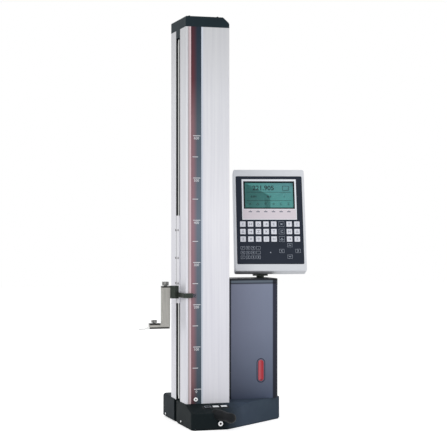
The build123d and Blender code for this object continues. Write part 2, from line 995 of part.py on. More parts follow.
def pulley_blank(axis_height, bore):
    """Flanged pulley with a thin web, turned about an axis along Y."""
    with BuildPart() as blank:
        with BuildSketch(Plane.YZ.offset(pulley_x)):
            rim_low = pulley_radius - pulley_rim
            flange_top = pulley_radius + pulley_flange_rise
            outline(
                [
                    (belt_y - pulley_end, axis_height + bore, 0),
                    (belt_y - pulley_end, axis_height + pulley_hub_radius, 0),
                    (belt_y - pulley_web / 2, axis_height + pulley_hub_radius, 0),
                    (belt_y - pulley_web / 2, axis_height + rim_low, 0),
                    (belt_y - pulley_end, axis_height + rim_low, 0),
                    (belt_y - pulley_end, axis_height + flange_top, 0),
                    (belt_y - pulley_half, axis_height + flange_top, 0),
                    (belt_y - pulley_half, axis_height + pulley_radius, 0),
                    (belt_y + pulley_half, axis_height + pulley_radius, 0),
                    (belt_y + pulley_half, axis_height + flange_top, 0),
                    (belt_y + pulley_end, axis_height + flange_top, 0),
                    (belt_y + pulley_end, axis_height + rim_low, 0),
                    (belt_y + pulley_web / 2, axis_height + rim_low, 0),
                    (belt_y + pulley_web / 2, axis_height + pulley_hub_radius, 0),
                    (belt_y + pulley_end, axis_height + pulley_hub_radius, 0),
                    (belt_y + pulley_end, axis_height + bore, 0),
                ]
            )
        revolve(axis=Axis((pulley_x, 0, axis_height), (0, 1, 0)))
    return blank


upper_pulley = pulley_blank(upper_axis, axle_radius + axle_gap)
save(upper_pulley, "upper_pulley")
with BuildPart() as drive_pulley:
    add(pulley_blank(lower_axis, axle_radius).part)
    with BuildSketch(Plane.XZ.offset(-rib_front + shaft_end_gap)):
        with Locations((pulley_x, lower_axis)):
            Circle(axle_radius)
    extrude(amount=rib_front - shaft_end_gap - belt_y + pulley_end)
save(drive_pulley, "drive_pulley")

# Fixed axle and bracket of the upper pulley, on the column's front wall
with BuildPart() as pulley_bracket:
    with BuildSketch(Plane.XZ.offset(-column_front - column_wall)):
        with Locations((pulley_x, upper_axis)):
            RectangleRounded(bracket_width, bracket_height, bracket_corner)
    extrude(amount=-bracket_thickness)
    with BuildSketch(Plane.XZ.offset(-column_front - column_wall - bracket_thickness)):
        with Locations((pulley_x, upper_axis)):
            Circle(pulley_hub_radius)
    extrude(amount=-(axle_shoulder - column_front - column_wall - bracket_thickness))
    with BuildSketch(Plane.XZ.offset(-column_front - column_wall)):
        with Locations((pulley_x, upper_axis)):
            Circle(axle_radius)
    extrude(amount=-(belt_y + pulley_end - column_front - column_wall))
save(pulley_bracket, "pulley_bracket")

# Motor bolted to the box rib, its shaft carries the drive pulley
with BuildPart() as drive_motor:
    with BuildSketch(Plane.XZ.offset(-rib_front)):
        with Locations((pulley_x, lower_axis)):
            Circle(motor_radius)
    extrude(amount=rib_front - belt_y - pulley_end - motor_gap)
    fillet(drive_motor.edges().group_by(Axis.Y)[0], radius=motor_edge)
    with BuildSketch(Plane.XZ.offset(-rib_front)):
        with Locations((pulley_x, lower_axis)):
            Circle(axle_radius + axle_gap)
    extrude(amount=rib_front - belt_y, mode=Mode.SUBTRACT)
save(drive_motor, "drive_motor")

# Counterweight on the far strand of the belt
with BuildPart() as counterweight:
    with BuildSketch(Plane.XY.offset(weight_middle - weight_height / 2)):
        span(
            belt_far_x - weight_left,
            belt_far_x + weight_right,
            belt_y - weight_front,
            belt_y + weight_back,
        )
        span(
            pulley_x + belt_inner - weight_gap,
            pulley_x + belt_outer + weight_gap,
            belt_front - weight_gap,
            belt_back + weight_gap,
            mode=Mode.SUBTRACT,
        )
    extrude(amount=weight_height)
    weight_corners = counterweight.edges().filter_by(Axis.Z).group_by(Axis.X)
    chamfer(weight_corners[0] + weight_corners[-1], length=weight_edge)
save(counterweight, "counterweight")

# Clamp block between the carriage plate and the probe holder
with BuildPart() as clamp_block:
    with BuildSketch(Plane.XY.offset(clamp_bottom)):
        outline(
            [
                (carriage_outer, slot_y - clamp_width / 2, 0),
                (carriage_outer - clamp_shoulder, slot_y - clamp_width / 2, clamp_round),
                (clamp_face, slot_y - holder_depth / 2, 0),
                (clamp_face, slot_y + holder_depth / 2, 0),
                (carriage_outer - clamp_shoulder, slot_y + clamp_width / 2, clamp_round),
                (carriage_outer, slot_y + clamp_width / 2, 0),
            ]
        )
    extrude(amount=clamp_height)
    chamfer(
        clamp_block.faces().filter_by(Axis.Z).edges().filter_by(
            lambda e: clamp_face + edge_margin < e.center().X < carriage_outer - edge_margin
        ),
        length=clamp_edge,
    )
save(clamp_block, "clamp_block")

# Pointer arm from the clamp block round the column to the scale
with BuildPart() as pointer_arm:
    with BuildSketch(Plane.XY.offset(index_z - arm_height / 2)):
        with BuildLine() as arm_line:
            FilletPolyline(
                (arm_x, slot_y - clamp_width / 2),
                (arm_x, arm_y),
                (arm_end, arm_y),
                radius=arm_bend,
            )
        trace(arm_line.edges(), line_width=arm_thickness)
    extrude(amount=arm_height)
save(pointer_arm, "pointer_arm")

with BuildPart() as index_window:
    with BuildSketch(Plane.XZ.offset(-arm_y - window_thickness / 2)):
        with Locations((arm_end + window_length / 2, index_z)):
            RectangleRounded(window_length, window_height, window_corner)
    extrude(amount=window_thickness)
save(index_window, "index_window")

# L-shaped probe holder: upright bar with a thin foot that carries the stylus
with BuildPart() as probe_holder:
    with BuildSketch(Plane.XZ.offset(-holder_front)):
        outline(
            [
                (holder_right, holder_bottom, holder_edge),
                (holder_right, holder_top, 0),
                (holder_left, holder_top, 0),
                (holder_left, holder_bottom + holder_foot, holder_round),
                (foot_end, holder_bottom + holder_foot, 0),
                (foot_end, holder_bottom, 0),
            ]
        )
    extrude(amount=-holder_depth)
    chamfer(
        probe_holder.edges().filter_by(Axis.Z).filter_by(
            lambda e: e.center().X < holder_left + edge_margin and e.center().Z > jaw_bottom
        ),
        length=holder_edge,
    )
    with Locations((holder_screw_x, slot_y, holder_top)):
        Cylinder(
            holder_screw_shank + thread_gap,
            holder_screw_length,
            align=(Align.CENTER, Align.CENTER, Align.MAX),
            mode=Mode.SUBTRACT,
        )
    with Locations((stylus_screw_x, slot_y, holder_bottom)):
        Cylinder(
            stylus_screw_shank + thread_gap,
            holder_foot,
            align=(Align.CENTER, Align.CENTER, Align.MIN),
            mode=Mode.SUBTRACT,
        )
save(probe_holder, "probe_holder")

# Dark top plate of the upright and dark jaw on the foot, each under its screw
with BuildPart() as holder_top_plate:
    with BuildSketch(Plane.XY.offset(holder_top)):
        rounded_span(holder_left, holder_right, holder_front, holder_back, plate_corner)
        with Locations((holder_screw_x, slot_y)):
            Circle(holder_screw_shank + thread_gap, mode=Mode.SUBTRACT)
    extrude(amount=top_plate_thickness)
save(holder_top_plate, "holder_top_plate")

with BuildPart() as stylus_jaw:
    with BuildSketch(Plane.XY.offset(jaw_bottom)):
        rounded_span(foot_end, jaw_end, holder_front, holder_back, plate_corner)
        with Locations((stylus_screw_x, slot_y)):
            Circle(stylus_screw_shank + thread_gap, mode=Mode.SUBTRACT)
    extrude(amount=jaw_thickness)
save(stylus_jaw, "stylus_jaw")

# Dark shoe under the foot, with the socket of the stylus
with BuildPart() as stylus_shoe:
    with BuildSketch(Plane.XY.offset(shoe_bottom)):
        rounded_span(foot_end, holder_right - holder_edge, holder_front, holder_back, plate_corner)
    extrude(amount=shoe_thickness)
save(stylus_shoe, "stylus_shoe")


def knurled_screw(x, base, head_radius, head_height, shank_radius, shank_length, teeth):
    """Thumb screw on the middle line of the holder, its collar standing on the given height."""
    with BuildPart() as screw:
        with BuildSketch(Plane.XY.offset(base + collar_height)):
            with Locations((x, slot_y)):
                Circle(head_radius)
                with PolarLocations(head_radius, teeth):
                    Circle(knurl_radius, mode=Mode.SUBTRACT)
        extrude(amount=head_height)
        with Locations((x, slot_y, base + collar_height)):
            Cylinder(
                head_radius * collar_share,
                collar_height - thread_gap,
                align=(Align.CENTER, Align.CENTER, Align.MAX),
            )
            Cylinder(
                shank_radius,
                shank_length + collar_height,
                align=(Align.CENTER, Align.CENTER, Align.MAX),
            )
        with BuildSketch(Plane.XY.offset(base + collar_height + head_height)):
            with Locations((x, slot_y)):
                Circle(head_radius * dish_share)
        extrude(amount=-dish_depth, mode=Mode.SUBTRACT)
    return screw


holder_screw = knurled_screw(
    holder_screw_x,
    holder_top + top_plate_thickness,
    holder_screw_radius,
    holder_screw_head,
    holder_screw_shank,
    holder_screw_length,
    holder_screw_teeth,
)
save(holder_screw, "holder_screw")
stylus_screw = knurled_screw(
    stylus_screw_x,
    jaw_bottom + jaw_thickness,
    stylus_screw_radius,
    stylus_screw_head,
    stylus_screw_shank,
    stylus_screw_length,
    stylus_screw_teeth,
)
save(stylus_screw, "stylus_screw")

# Stylus: tapered root against the end of the foot, thin rod and a ball
with BuildPart() as stylus:
    with BuildSketch(Plane.XZ.offset(-slot_y)):
        outline(
            [
                (foot_end, stylus_low, 0),
                (foot_end, stylus_low + stylus_root, 0),
                (stylus_neck_x, stylus_z + stylus_rod_radius, 0),
                (stylus_neck_x, stylus_low, 0),
            ]
        )
    extrude(amount=stylus_root / 2, both=True)
    with BuildSketch(Plane.XY.offset(stylus_low)):
        outline(
            [
                (foot_end, slot_y - stylus_root / 2, 0),
                (foot_end, slot_y + stylus_root / 2, 0),
                (stylus_neck_x, slot_y + stylus_rod_radius, 0),
                (stylus_neck_x, slot_y - stylus_rod_radius, 0),
            ]
        )
    extrude(amount=stylus_root, mode=Mode.INTERSECT)
    with BuildSketch(Plane.XZ.offset(-slot_y)):
        with BuildLine():
            Polyline(
                (ball_x - ball_radius, stylus_z),
                (stylus_neck_x, stylus_z),
                (stylus_neck_x, stylus_z + stylus_rod_radius),
                (ball_join_x, stylus_z + stylus_rod_radius),
            )
            ThreePointArc(
                (ball_join_x, stylus_z + stylus_rod_radius),
                (ball_x, stylus_z + ball_radius),
                (ball_x - ball_radius, stylus_z),
            )
        make_face()
    revolve(axis=Axis((0, slot_y, stylus_z), (1, 0, 0)))
save(stylus, "stylus")

# Power housing: open box with a separate lid, rear door and a red lens in front
with BuildPart() as housing_shell:
    with BuildSketch(Plane.XY.offset(foot_height)):
        rounded_span(housing_left, housing_right, housing_front, housing_back, housing_corner_radius)
        offset(amount=-housing_wall, mode=Mode.SUBTRACT)
    extrude(amount=lid_bottom - foot_height)
    with BuildSketch(Plane.XZ.offset(-housing_front)):
        with Locations((lens_x, lens_z)):
            SlotOverall(lens_length, lens_width, rotation=90)
    extrude(amount=-housing_wall, mode=Mode.SUBTRACT)
    with BuildSketch(Plane.XZ.offset(-housing_back)):
        with Locations((housing_x, door_z)):
            RectangleRounded(door_width, door_height, door_corner)
    extrude(amount=housing_wall, mode=Mode.SUBTRACT)
save(housing_shell, "housing_shell")

with BuildPart() as housing_lid:
    with BuildSketch(Plane.XY.offset(lid_bottom)):
        rounded_span(housing_left, housing_right, housing_front, housing_back, housing_corner_radius)
    extrude(amount=lid_height)
    fillet(housing_lid.faces().sort_by(Axis.Z)[-1].edges(), radius=lid_edge)
    with BuildSketch(Plane.XY.offset(lid_bottom)):
        rounded_span(
            housing_left + housing_wall,
            housing_right - housing_wall,
            housing_front + housing_wall,
            housing_back - housing_wall,
            housing_corner_radius - housing_wall,
        )
        with Locations((neck_x, neck_y)):
            Circle(neck_boss_radius, mode=Mode.SUBTRACT)
    extrude(amount=lid_height - housing_wall, mode=Mode.SUBTRACT)
    with BuildSketch(Plane.XY.offset(lid_bottom)):
        with Locations((neck_x, neck_y)):
            Circle(spigot_radius + axle_gap)
    extrude(amount=lid_height, mode=Mode.SUBTRACT)
save(housing_lid, "housing_lid")

with BuildPart() as housing_door:
    with BuildSketch(Plane.XZ.offset(-housing_back)):
        with Locations((housing_x, door_z)):
            RectangleRounded(door_width - 2 * door_gap, door_height - 2 * door_gap, door_corner)
    extrude(amount=door_thickness)
    with BuildSketch(Plane.XZ.offset(-housing_back)):
        with Locations((housing_x, door_z)):
            with GridLocations(0, door_slot_pitch, 1, door_slots):
                SlotOverall(door_slot_length, door_slot_width)
    extrude(amount=door_thickness, mode=Mode.SUBTRACT)
    with BuildSketch(Plane.XZ.offset(-housing_back)):
        with Locations((housing_x, door_z)):
            with GridLocations(
                door_width - 2 * door_screw_inset, door_height - 2 * door_screw_inset, 2, 2
            ):
                Circle(door_screw_radius)
    extrude(amount=door_screw_sink, mode=Mode.SUBTRACT)
save(housing_door, "housing_door")

with BuildPart() as signal_lens:
    with BuildSketch(Plane.XZ.offset(-housing_front + lens_proud)):
        with Locations((lens_x, lens_z)):
            SlotOverall(lens_length - 2 * lens_gap, lens_width - 2 * lens_gap, rotation=90)
    extrude(amount=-lens_proud - housing_wall)
    fillet(signal_lens.faces().sort_by(Axis.Y)[0].edges(), radius=lens_edge)
    with BuildSketch(Plane.XZ.offset(-housing_front - housing_wall)):
        with Locations((lens_x, lens_z)):
            SlotOverall(lens_length + 2 * lens_flange, lens_width + 2 * lens_flange, rotation=90)
    extrude(amount=-lens_flange)
save(signal_lens, "signal_lens")

# Inside the housing: battery pack, air pump and circuit board
with BuildPart() as battery_pack:
    with BuildSketch(Plane.XY.offset(foot_height)):
        rounded_span(
            housing_left + pack_margin,
            housing_left + pack_margin + battery_width,
            housing_y - battery_depth / 2,
            housing_y + battery_depth / 2,
            battery_corner,
        )
    extrude(amount=battery_height)
save(battery_pack, "battery_pack")

with BuildPart() as air_pump:
    with Locations((housing_left + pack_margin + pump_radius, housing_y, foot_height + battery_height)):
        Cylinder(pump_radius, pump_length, align=(Align.CENTER, Align.CENTER, Align.MIN))
    with Locations(
        (housing_left + pack_margin + pump_radius, housing_y, foot_height + battery_height + pump_length)
    ):
        Box(
            2 * pump_radius,
            2 * pump_radius,
            pump_head,
            align=(Align.CENTER, Align.CENTER, Align.MIN),
        )
save(air_pump, "air_pump")

with BuildPart() as power_board:
    with BuildSketch(Plane.YZ.offset(housing_right - housing_wall - board_standoff)):
        with Locations((housing_y, foot_height + circuit_height / 2)):
            RectangleRounded(circuit_width_y, circuit_height, board_corner)
    extrude(amount=-circuit_thickness)
    with BuildSketch(Plane.YZ.offset(housing_right - housing_wall - board_standoff)):
        with Locations((housing_y, foot_height + circuit_height / 2)):
            with GridLocations(circuit_width_y - board_peg_inset, circuit_height - board_peg_inset, 2, 2):
                Circle(board_peg_radius)
    extrude(amount=board_standoff)
save(power_board, "power_board")

# Swivel: neck that turns in the boss of the lid, with a fork for the tilt pin
with BuildPart() as swivel_neck:
    with Locations((neck_x, neck_y, housing_top + neck_gap)):
        Cylinder(
            spigot_radius,
            lid_height + neck_gap,
            align=(Align.CENTER, Align.CENTER, Align.MAX),
        )
        Cylinder(
            neck_radius,
            tilt_axis_rise - neck_gap - fork_radius,
            align=(Align.CENTER, Align.CENTER, Align.MIN),
        )
    with BuildSketch(fork_plane.offset(-fork_gap / 2 - fork_ear)):
        Circle(fork_radius)
        span(-tilt_axis_rise + neck_gap + fork_floor, 0, -fork_radius, fork_radius)
    extrude(amount=fork_gap + 2 * fork_ear)
    with BuildSketch(fork_plane.offset(-fork_gap / 2)):
        Circle(fork_radius + fork_relief)
        span(-fork_radius - fork_relief, fork_radius + fork_relief, -2 * fork_radius, 2 * fork_radius)
    extrude(amount=fork_gap, mode=Mode.SUBTRACT)
    with BuildSketch(fork_plane.offset(-fork_gap / 2 - fork_ear)):
        Circle(tilt_pin_radius)
    extrude(amount=fork_gap + 2 * fork_ear, mode=Mode.SUBTRACT)
save(swivel_neck, "swivel_neck")

with BuildPart() as tilt_pin:
    with BuildSketch(fork_plane.offset(-fork_gap / 2 - fork_ear - pin_head)):
        Circle(tilt_pin_radius)
    extrude(amount=fork_gap + 2 * fork_ear + 2 * pin_head)
    for start in (-fork_gap / 2 - fork_ear - pin_head, fork_gap / 2 + fork_ear):
        with BuildSketch(fork_plane.offset(start)):
            Circle(tilt_pin_radius + pin_head)
        extrude(amount=pin_head)
save(tilt_pin, "tilt_pin")

# Lug on the back of the control unit, between the ears of the fork
with BuildPart() as tilt_lug:
    with BuildSketch(fork_plane.offset(-lug_width / 2)):
        Circle(lug_radius)
        Circle(tilt_pin_radius + axle_gap, mode=Mode.SUBTRACT)
    extrude(amount=lug_width)
    with BuildSketch(unit_plane.offset(-unit_depth - lug_plate)):
        with Locations((hinge_offset, hinge_height)):
            RectangleRounded(lug_width + 2 * lug_plate_margin, lug_plate_height, lug_corner)
    extrude(amount=lug_plate)
    with BuildSketch(unit_plane.offset(-unit_depth)):
        with Locations((hinge_offset, hinge_height)):
            Rectangle(lug_width, 2 * lug_radius * lug_neck_share)
    extrude(amount=unit_depth - hinge_setback + tilt_pin_radius + lug_web)
save(tilt_lug, "tilt_lug")


# Control unit: front casing with a recess for the foil and a window for the screen
with BuildPart() as unit_front:
    with BuildSketch(unit_plane):
        with Locations((0, unit_height / 2)):
            RectangleRounded(unit_width, unit_height, unit_corner_radius)
    extrude(amount=-unit_split)
    fillet(unit_front.faces().sort_by(unit_axis)[-1].edges(), radius=unit_edge)
    with BuildSketch(unit_plane):
        with Locations((0, foil_middle)):
            RectangleRounded(foil_width, foil_height, foil_corner)
    extrude(amount=-foil_recess, mode=Mode.SUBTRACT)
    with BuildSketch(unit_plane):
        with Locations((0, screen_middle)):
            Rectangle(screen_frame_width + 2 * screen_gap, screen_frame_height + 2 * screen_gap)
    extrude(amount=-unit_split, mode=Mode.SUBTRACT)
    with BuildSketch(unit_plane.offset(-unit_split)):
        with Locations((0, unit_height / 2)):
            RectangleRounded(
                unit_width - 2 * unit_wall, unit_height - 2 * unit_wall, unit_corner_radius - unit_wall
            )
    extrude(amount=unit_split - foil_recess - unit_wall, mode=Mode.SUBTRACT)
save(unit_front, "unit_front")

with BuildPart() as unit_rear:
    with BuildSketch(unit_plane.offset(-unit_depth)):
        with Locations((0, unit_height / 2)):
            RectangleRounded(unit_width, unit_height, unit_corner_radius)
    extrude(amount=unit_depth - unit_split)
    fillet(unit_rear.faces().sort_by(unit_axis)[0].edges(), radius=unit_rear_edge)
    with BuildSketch(unit_plane.offset(-unit_split)):
        with Locations((0, unit_height / 2)):
            RectangleRounded(
                unit_width - 2 * unit_wall, unit_height - 2 * unit_wall, unit_corner_radius - unit_wall
            )
    extrude(amount=unit_split + unit_wall - unit_depth, mode=Mode.SUBTRACT)
    with BuildSketch(unit_plane.offset(-unit_depth)):
        with Locations((0, vent_middle)):
            with GridLocations(0, vent_pitch, 1, vent_count):
                SlotOverall(vent_length, vent_width)
    extrude(amount=unit_wall, mode=Mode.SUBTRACT)
    with BuildSketch(unit_plane.offset(-unit_depth)):
        with Locations(*port_places):
            Rectangle(port_width, port_height)
    extrude(amount=unit_wall, mode=Mode.SUBTRACT)
    with BuildSketch(unit_plane.offset(-unit_depth)):
        with Locations((0, unit_height / 2)):
            with GridLocations(
                unit_width - 2 * unit_screw_inset, unit_height - 2 * unit_screw_inset, 2, 2
            ):
                Circle(unit_screw_radius)
    extrude(amount=unit_screw_sink, mode=Mode.SUBTRACT)
save(unit_rear, "unit_rear")

# Dark keypad foil with embossed keys, digits and arrows, cut out for the screen bezel
with BuildPart() as keypad_foil:
    with BuildSketch(unit_plane.offset(-foil_recess)):
        with Locations((0, foil_middle)):
            RectangleRounded(
                foil_width - 2 * foil_gap, foil_height - 2 * foil_gap, foil_corner
            )
        with Locations((0, bezel_low + bezel_height / 2)):
            Rectangle(bezel_width, bezel_height, mode=Mode.SUBTRACT)
    extrude(amount=foil_thickness)
    with BuildSketch(unit_plane.offset(foil_thickness - foil_recess)):
        with Locations(*dark_key_places):
            RectangleRounded(key_size, key_size, key_corner)
        with Locations(*digit_places):
            RectangleRounded(digit_width, digit_height, key_corner)
        with Locations(*arrow_places):
            RectangleRounded(arrow_width, arrow_height, key_corner)
    extrude(amount=dark_key_rise)
save(keypad_foil, "keypad_foil")

with BuildPart() as screen_bezel:
    with BuildSketch(unit_plane.offset(-foil_recess)):
        with Locations((0, bezel_low + bezel_height / 2)):
            Rectangle(bezel_width, bezel_height)
        with Locations((0, screen_middle)):
            Rectangle(screen_frame_width, screen_frame_height, mode=Mode.SUBTRACT)
    extrude(amount=foil_thickness + bezel_proud)
save(screen_bezel, "screen_bezel")

# Screen: black metal frame, panel behind it and clear glass in front
with BuildPart() as screen_frame:
    with BuildSketch(unit_plane.offset(-foil_recess - screen_depth)):
        with Locations((0, screen_middle)):
            Rectangle(screen_frame_width, screen_frame_height)
            Rectangle(screen_width, screen_height, mode=Mode.SUBTRACT)
    extrude(amount=screen_depth)
save(screen_frame, "screen_frame")

with BuildPart() as screen_panel:
    with BuildSketch(unit_plane.offset(-foil_recess - screen_depth)):
        with Locations((0, screen_middle)):
            Rectangle(screen_width, screen_height)
    extrude(amount=screen_depth - glass_thickness - glass_sink)
save(screen_panel, "screen_panel")

with BuildPart() as screen_glass:
    with BuildSketch(unit_plane.offset(-foil_recess - glass_thickness - glass_sink)):
        with Locations((0, screen_middle)):
            Rectangle(screen_width, screen_height)
    extrude(amount=glass_thickness)
save(screen_glass, "screen_glass")

# White caps of the function keys, bonded to the foil
with BuildPart() as white_keys:
    with BuildSketch(unit_plane.offset(foil_thickness - foil_recess)):
        with Locations(*white_key_places):
            RectangleRounded(key_size, key_size, key_corner)
    extrude(amount=key_rise)
save(white_keys, "white_keys")

# Circuit board with its two connectors, which show through the rear casing
with BuildPart() as unit_board:
    with BuildSketch(unit_plane.offset(-unit_split)):
        with Locations((0, unit_height / 2)):
            RectangleRounded(board_width, board_height, board_corner)
    extrude(amount=-circuit_thickness)
    with BuildSketch(unit_plane.offset(-unit_split - circuit_thickness)):
        with Locations((0, unit_height / 2)):
            with GridLocations(board_width - board_peg_inset, board_height - board_peg_inset, 2, 2):
                Circle(board_peg_radius)
    extrude(amount=-(unit_depth - unit_wall - unit_split - circuit_thickness))
    with BuildSketch(unit_plane.offset(-unit_split - circuit_thickness)):
        with Locations(*port_places):
            Rectangle(port_width - 2 * plate_hole_gap, port_height - 2 * plate_hole_gap)
    extrude(amount=-(unit_depth - unit_split - circuit_thickness))
    with BuildSketch(unit_plane.offset(-unit_depth)):
        with Locations(*port_places):
            RectangleRounded(port_width - port_rim, port_height - port_rim, port_corner)
    extrude(amount=port_depth, mode=Mode.SUBTRACT)
save(unit_board, "unit_board")

# Quick keys on the sloping nose: frame, three keys and their switch board
with BuildPart() as key_frame:
    with BuildSketch(slope_plane):
        RectangleRounded(
            key_frame_width - 2 * plate_hole_gap,
            key_frame_length - 2 * plate_hole_gap,
            key_frame_corner,
        )
        with GridLocations(quick_key_pitch, 0, 3, 1):
            RectangleRounded(
                quick_key_width + 2 * quick_key_gap,
                quick_key_length + 2 * quick_key_gap,
                quick_key_corner,
                mode=Mode.SUBTRACT,
            )
    extrude(amount=-key_frame_thickness)
save(key_frame, "key_frame")

for index, side in enumerate((-1, 0, 1)):
    with BuildPart() as quick_key:
        with BuildSketch(slope_plane.offset(quick_key_proud)):
            with Locations((side * quick_key_pitch, 0)):
                RectangleRounded(quick_key_width, quick_key_length, quick_key_corner)
        extrude(amount=-(quick_key_proud + key_frame_thickness + key_flange_gap))
        fillet(quick_key.faces().sort_by(slope_axis)[-1].edges(), radius=quick_key_edge)
        with BuildSketch(slope_plane.offset(-key_frame_thickness - key_flange_gap)):
            with Locations((side * quick_key_pitch, 0)):
                Rectangle(
                    quick_key_width + 2 * quick_key_gap + quick_key_flange,
                    quick_key_length + 2 * quick_key_gap + quick_key_flange,
                )
        extrude(amount=-key_flange_thickness)
    save(quick_key, f"quick_key_{index + 1}")

with BuildPart() as switch_board:
    with BuildSketch(slope_plane.offset(-key_pocket_depth)):
        RectangleRounded(
            key_frame_width - 2 * plate_hole_gap,
            key_frame_length - 2 * plate_hole_gap,
            key_frame_corner,
        )
    extrude(amount=switch_board_thickness)
    with BuildSketch(slope_plane.offset(-key_pocket_depth + switch_board_thickness)):
        with GridLocations(quick_key_pitch, 0, 3, 1):
            Circle(dome_radius)
    extrude(amount=dome_height)
save(switch_board, "switch_board")

# Hand grip: turned rubber stub that stands out of the front right corner
with BuildPart() as hand_grip:
    with BuildSketch(Plane(origin=grip_plane.origin, x_dir=grip_plane.x_dir, z_dir=grip_side)):
        with BuildLine():
            Line((0, -grip_bury), (0, grip_length))
            RadiusArc((0, grip_length), grip_shoulder, grip_nose_radius)
            Spline(
                grip_shoulder,
                (grip_waist_radius, grip_waist_at),
                (grip_root_radius, 0),
                tangents=((0, -1), (0, -1)),
            )
            Line((grip_root_radius, 0), grip_heel)
            RadiusArc(grip_heel, (0, -grip_bury), grip_root_radius)
        make_face()
    revolve(axis=Axis(grip_plane.origin, grip_plane.z_dir))
    add(base_casting.part, mode=Mode.SUBTRACT)
    with BuildSketch():
        outline(casting_corners)
    extrude(amount=pocket_depth, mode=Mode.SUBTRACT)
save(hand_grip, "hand_grip")

# Ringed supply socket in its recess below the grip
with BuildPart() as supply_socket:
    with BuildSketch(Plane.XZ.offset(-foot_front + socket_proud)):
        with Locations((socket_x, socket_z)):
            Circle(socket_radius - plate_hole_gap)
    extrude(amount=-socket_proud - recess_depth - socket_length)
    with BuildSketch(Plane.XZ.offset(-foot_front + socket_proud)):
        with Locations((socket_x, socket_z)):
            Circle(socket_bore)
    extrude(amount=-socket_proud - recess_depth - socket_bore_depth, mode=Mode.SUBTRACT)
save(supply_socket, "supply_socket")
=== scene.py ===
import json
import math
import bpy
from mathutils import Matrix, Vector


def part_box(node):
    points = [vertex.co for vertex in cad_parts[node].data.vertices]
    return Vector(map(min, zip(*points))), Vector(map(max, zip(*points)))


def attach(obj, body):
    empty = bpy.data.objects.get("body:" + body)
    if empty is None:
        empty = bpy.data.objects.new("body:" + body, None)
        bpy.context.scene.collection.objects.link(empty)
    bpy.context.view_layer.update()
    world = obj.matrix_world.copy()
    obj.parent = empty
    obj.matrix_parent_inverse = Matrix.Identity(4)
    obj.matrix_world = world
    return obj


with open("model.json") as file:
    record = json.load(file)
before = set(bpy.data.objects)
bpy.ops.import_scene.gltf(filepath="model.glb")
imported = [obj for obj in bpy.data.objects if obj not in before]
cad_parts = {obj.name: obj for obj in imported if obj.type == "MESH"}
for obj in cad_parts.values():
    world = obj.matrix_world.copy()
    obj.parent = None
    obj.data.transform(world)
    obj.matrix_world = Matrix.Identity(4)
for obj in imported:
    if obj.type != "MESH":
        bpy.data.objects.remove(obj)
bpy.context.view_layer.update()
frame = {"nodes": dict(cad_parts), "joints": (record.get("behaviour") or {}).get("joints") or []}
nodes = frame["nodes"]
mm = 0.001  # sizes in the settings below are in millimetres
mixFactor, mixFirst, mixSecond, mixResult = 0, 6, 7, 2  # sockets of a Mix node that mixes colours
print("frame loaded:", len(nodes), "nodes")


def deselectAll():
    bpy.ops.object.select_all(action="DESELECT")


def linearColour(hexText):
    # sRGB hex to the linear values that a shader takes
    channels = [int(hexText[i:i + 2], 16) / 255 for i in (1, 3, 5)]
    linear = [c / 12.92 if c <= 0.04045 else ((c + 0.055) / 1.055) ** 2.4 for c in channels]
    return (*linear, 1)


def addNode(tree, kind, feeds=None, **settings):
    # one node with its settings; a feed is a value, a colour or another node's socket
    node = tree.nodes.new("ShaderNode" + kind)
    for setting, value in settings.items():
        setattr(node, setting, value)
    for socket, value in (feeds or {}).items():
        if isinstance(value, bpy.types.NodeSocket):
            tree.links.new(value, node.inputs[socket])
        else:
            node.inputs[socket].default_value = value
    return node


def startMaterial(name):
    material = bpy.data.materials.new(name)
    material.use_nodes = True
    tree = material.node_tree
    tree.nodes.clear()
    shader = addNode(tree, "BsdfPrincipled")
    addNode(tree, "OutputMaterial", {"Surface": shader.outputs["BSDF"]})
    return material, tree, shader


def objectPattern(tree, stretch=(1, 1, 1)):
    # object coordinates, stretched for a pattern that runs along the piece
    place = addNode(tree, "TexCoord").outputs["Object"]
    mapping = addNode(tree, "Mapping", {"Vector": place, "Scale": stretch})
    return mapping.outputs["Vector"]


def paintTo(shader, colour, roughness, metallic=0.0):
    shader.inputs["Base Color"].default_value = linearColour(colour)
    shader.inputs["Roughness"].default_value = roughness
    shader.inputs["Metallic"].default_value = metallic


def setStops(ramp, stops):
    # one stop for each pair of place and hex colour, in rising order
    for index, (position, colour) in enumerate(stops):
        if index > 1:
            ramp.color_ramp.elements.new(position)
        ramp.color_ramp.elements[index].position = position
        ramp.color_ramp.elements[index].color = linearColour(colour)


def tonesAlong(tree, axis, start, end, stops):
    # colour that runs through its stops along one axis, between two places in metres
    place = addNode(tree, "TexCoord").outputs["Object"]
    axes = addNode(tree, "SeparateXYZ", {"Vector": place})
    span = addNode(tree, "MapRange", {"Value": axes.outputs[axis], "From Min": start, "From Max": end})
    ramp = addNode(tree, "ValToRGB", {"Fac": span.outputs["Result"]})
    setStops(ramp, stops)
    return ramp.outputs["Color"]


def blotches(tree, vector, colourA, colourB, sizeMm):
    # slow change between two close colours
    cloud = addNode(tree, "TexNoise", {"Vector": vector, "Scale": 1 / (sizeMm * mm), "Detail": 3.0})
    ramp = addNode(tree, "ValToRGB", {"Fac": cloud.outputs["Fac"]})
    setStops(ramp, [(0.3, colourA), (0.7, colourB)])
    return ramp.outputs["Color"]


def colourFrom(tree, shader, tone, cover=None):
    # base colour from a pattern, darkened by a second one where there is one
    if cover:
        feeds = {mixFactor: 1.0, mixFirst: tone, mixSecond: cover}
        tone = addNode(tree, "Mix", feeds, data_type="RGBA", blend_type="MULTIPLY").outputs[mixResult]
    tree.links.new(tone, shader.inputs["Base Color"])


def grainBump(tree, shader, vector, grainMm, heightMm, detail=4.0):
    # fine relief from a noise whose grain is given in millimetres
    grain = addNode(tree, "TexNoise", {"Vector": vector, "Scale": 1 / (grainMm * mm), "Detail": detail})
    bump = addNode(tree, "Bump", {"Height": grain.outputs["Fac"], "Distance": heightMm * mm, "Strength": 1.0})
    tree.links.new(bump.outputs["Normal"], shader.inputs["Normal"])


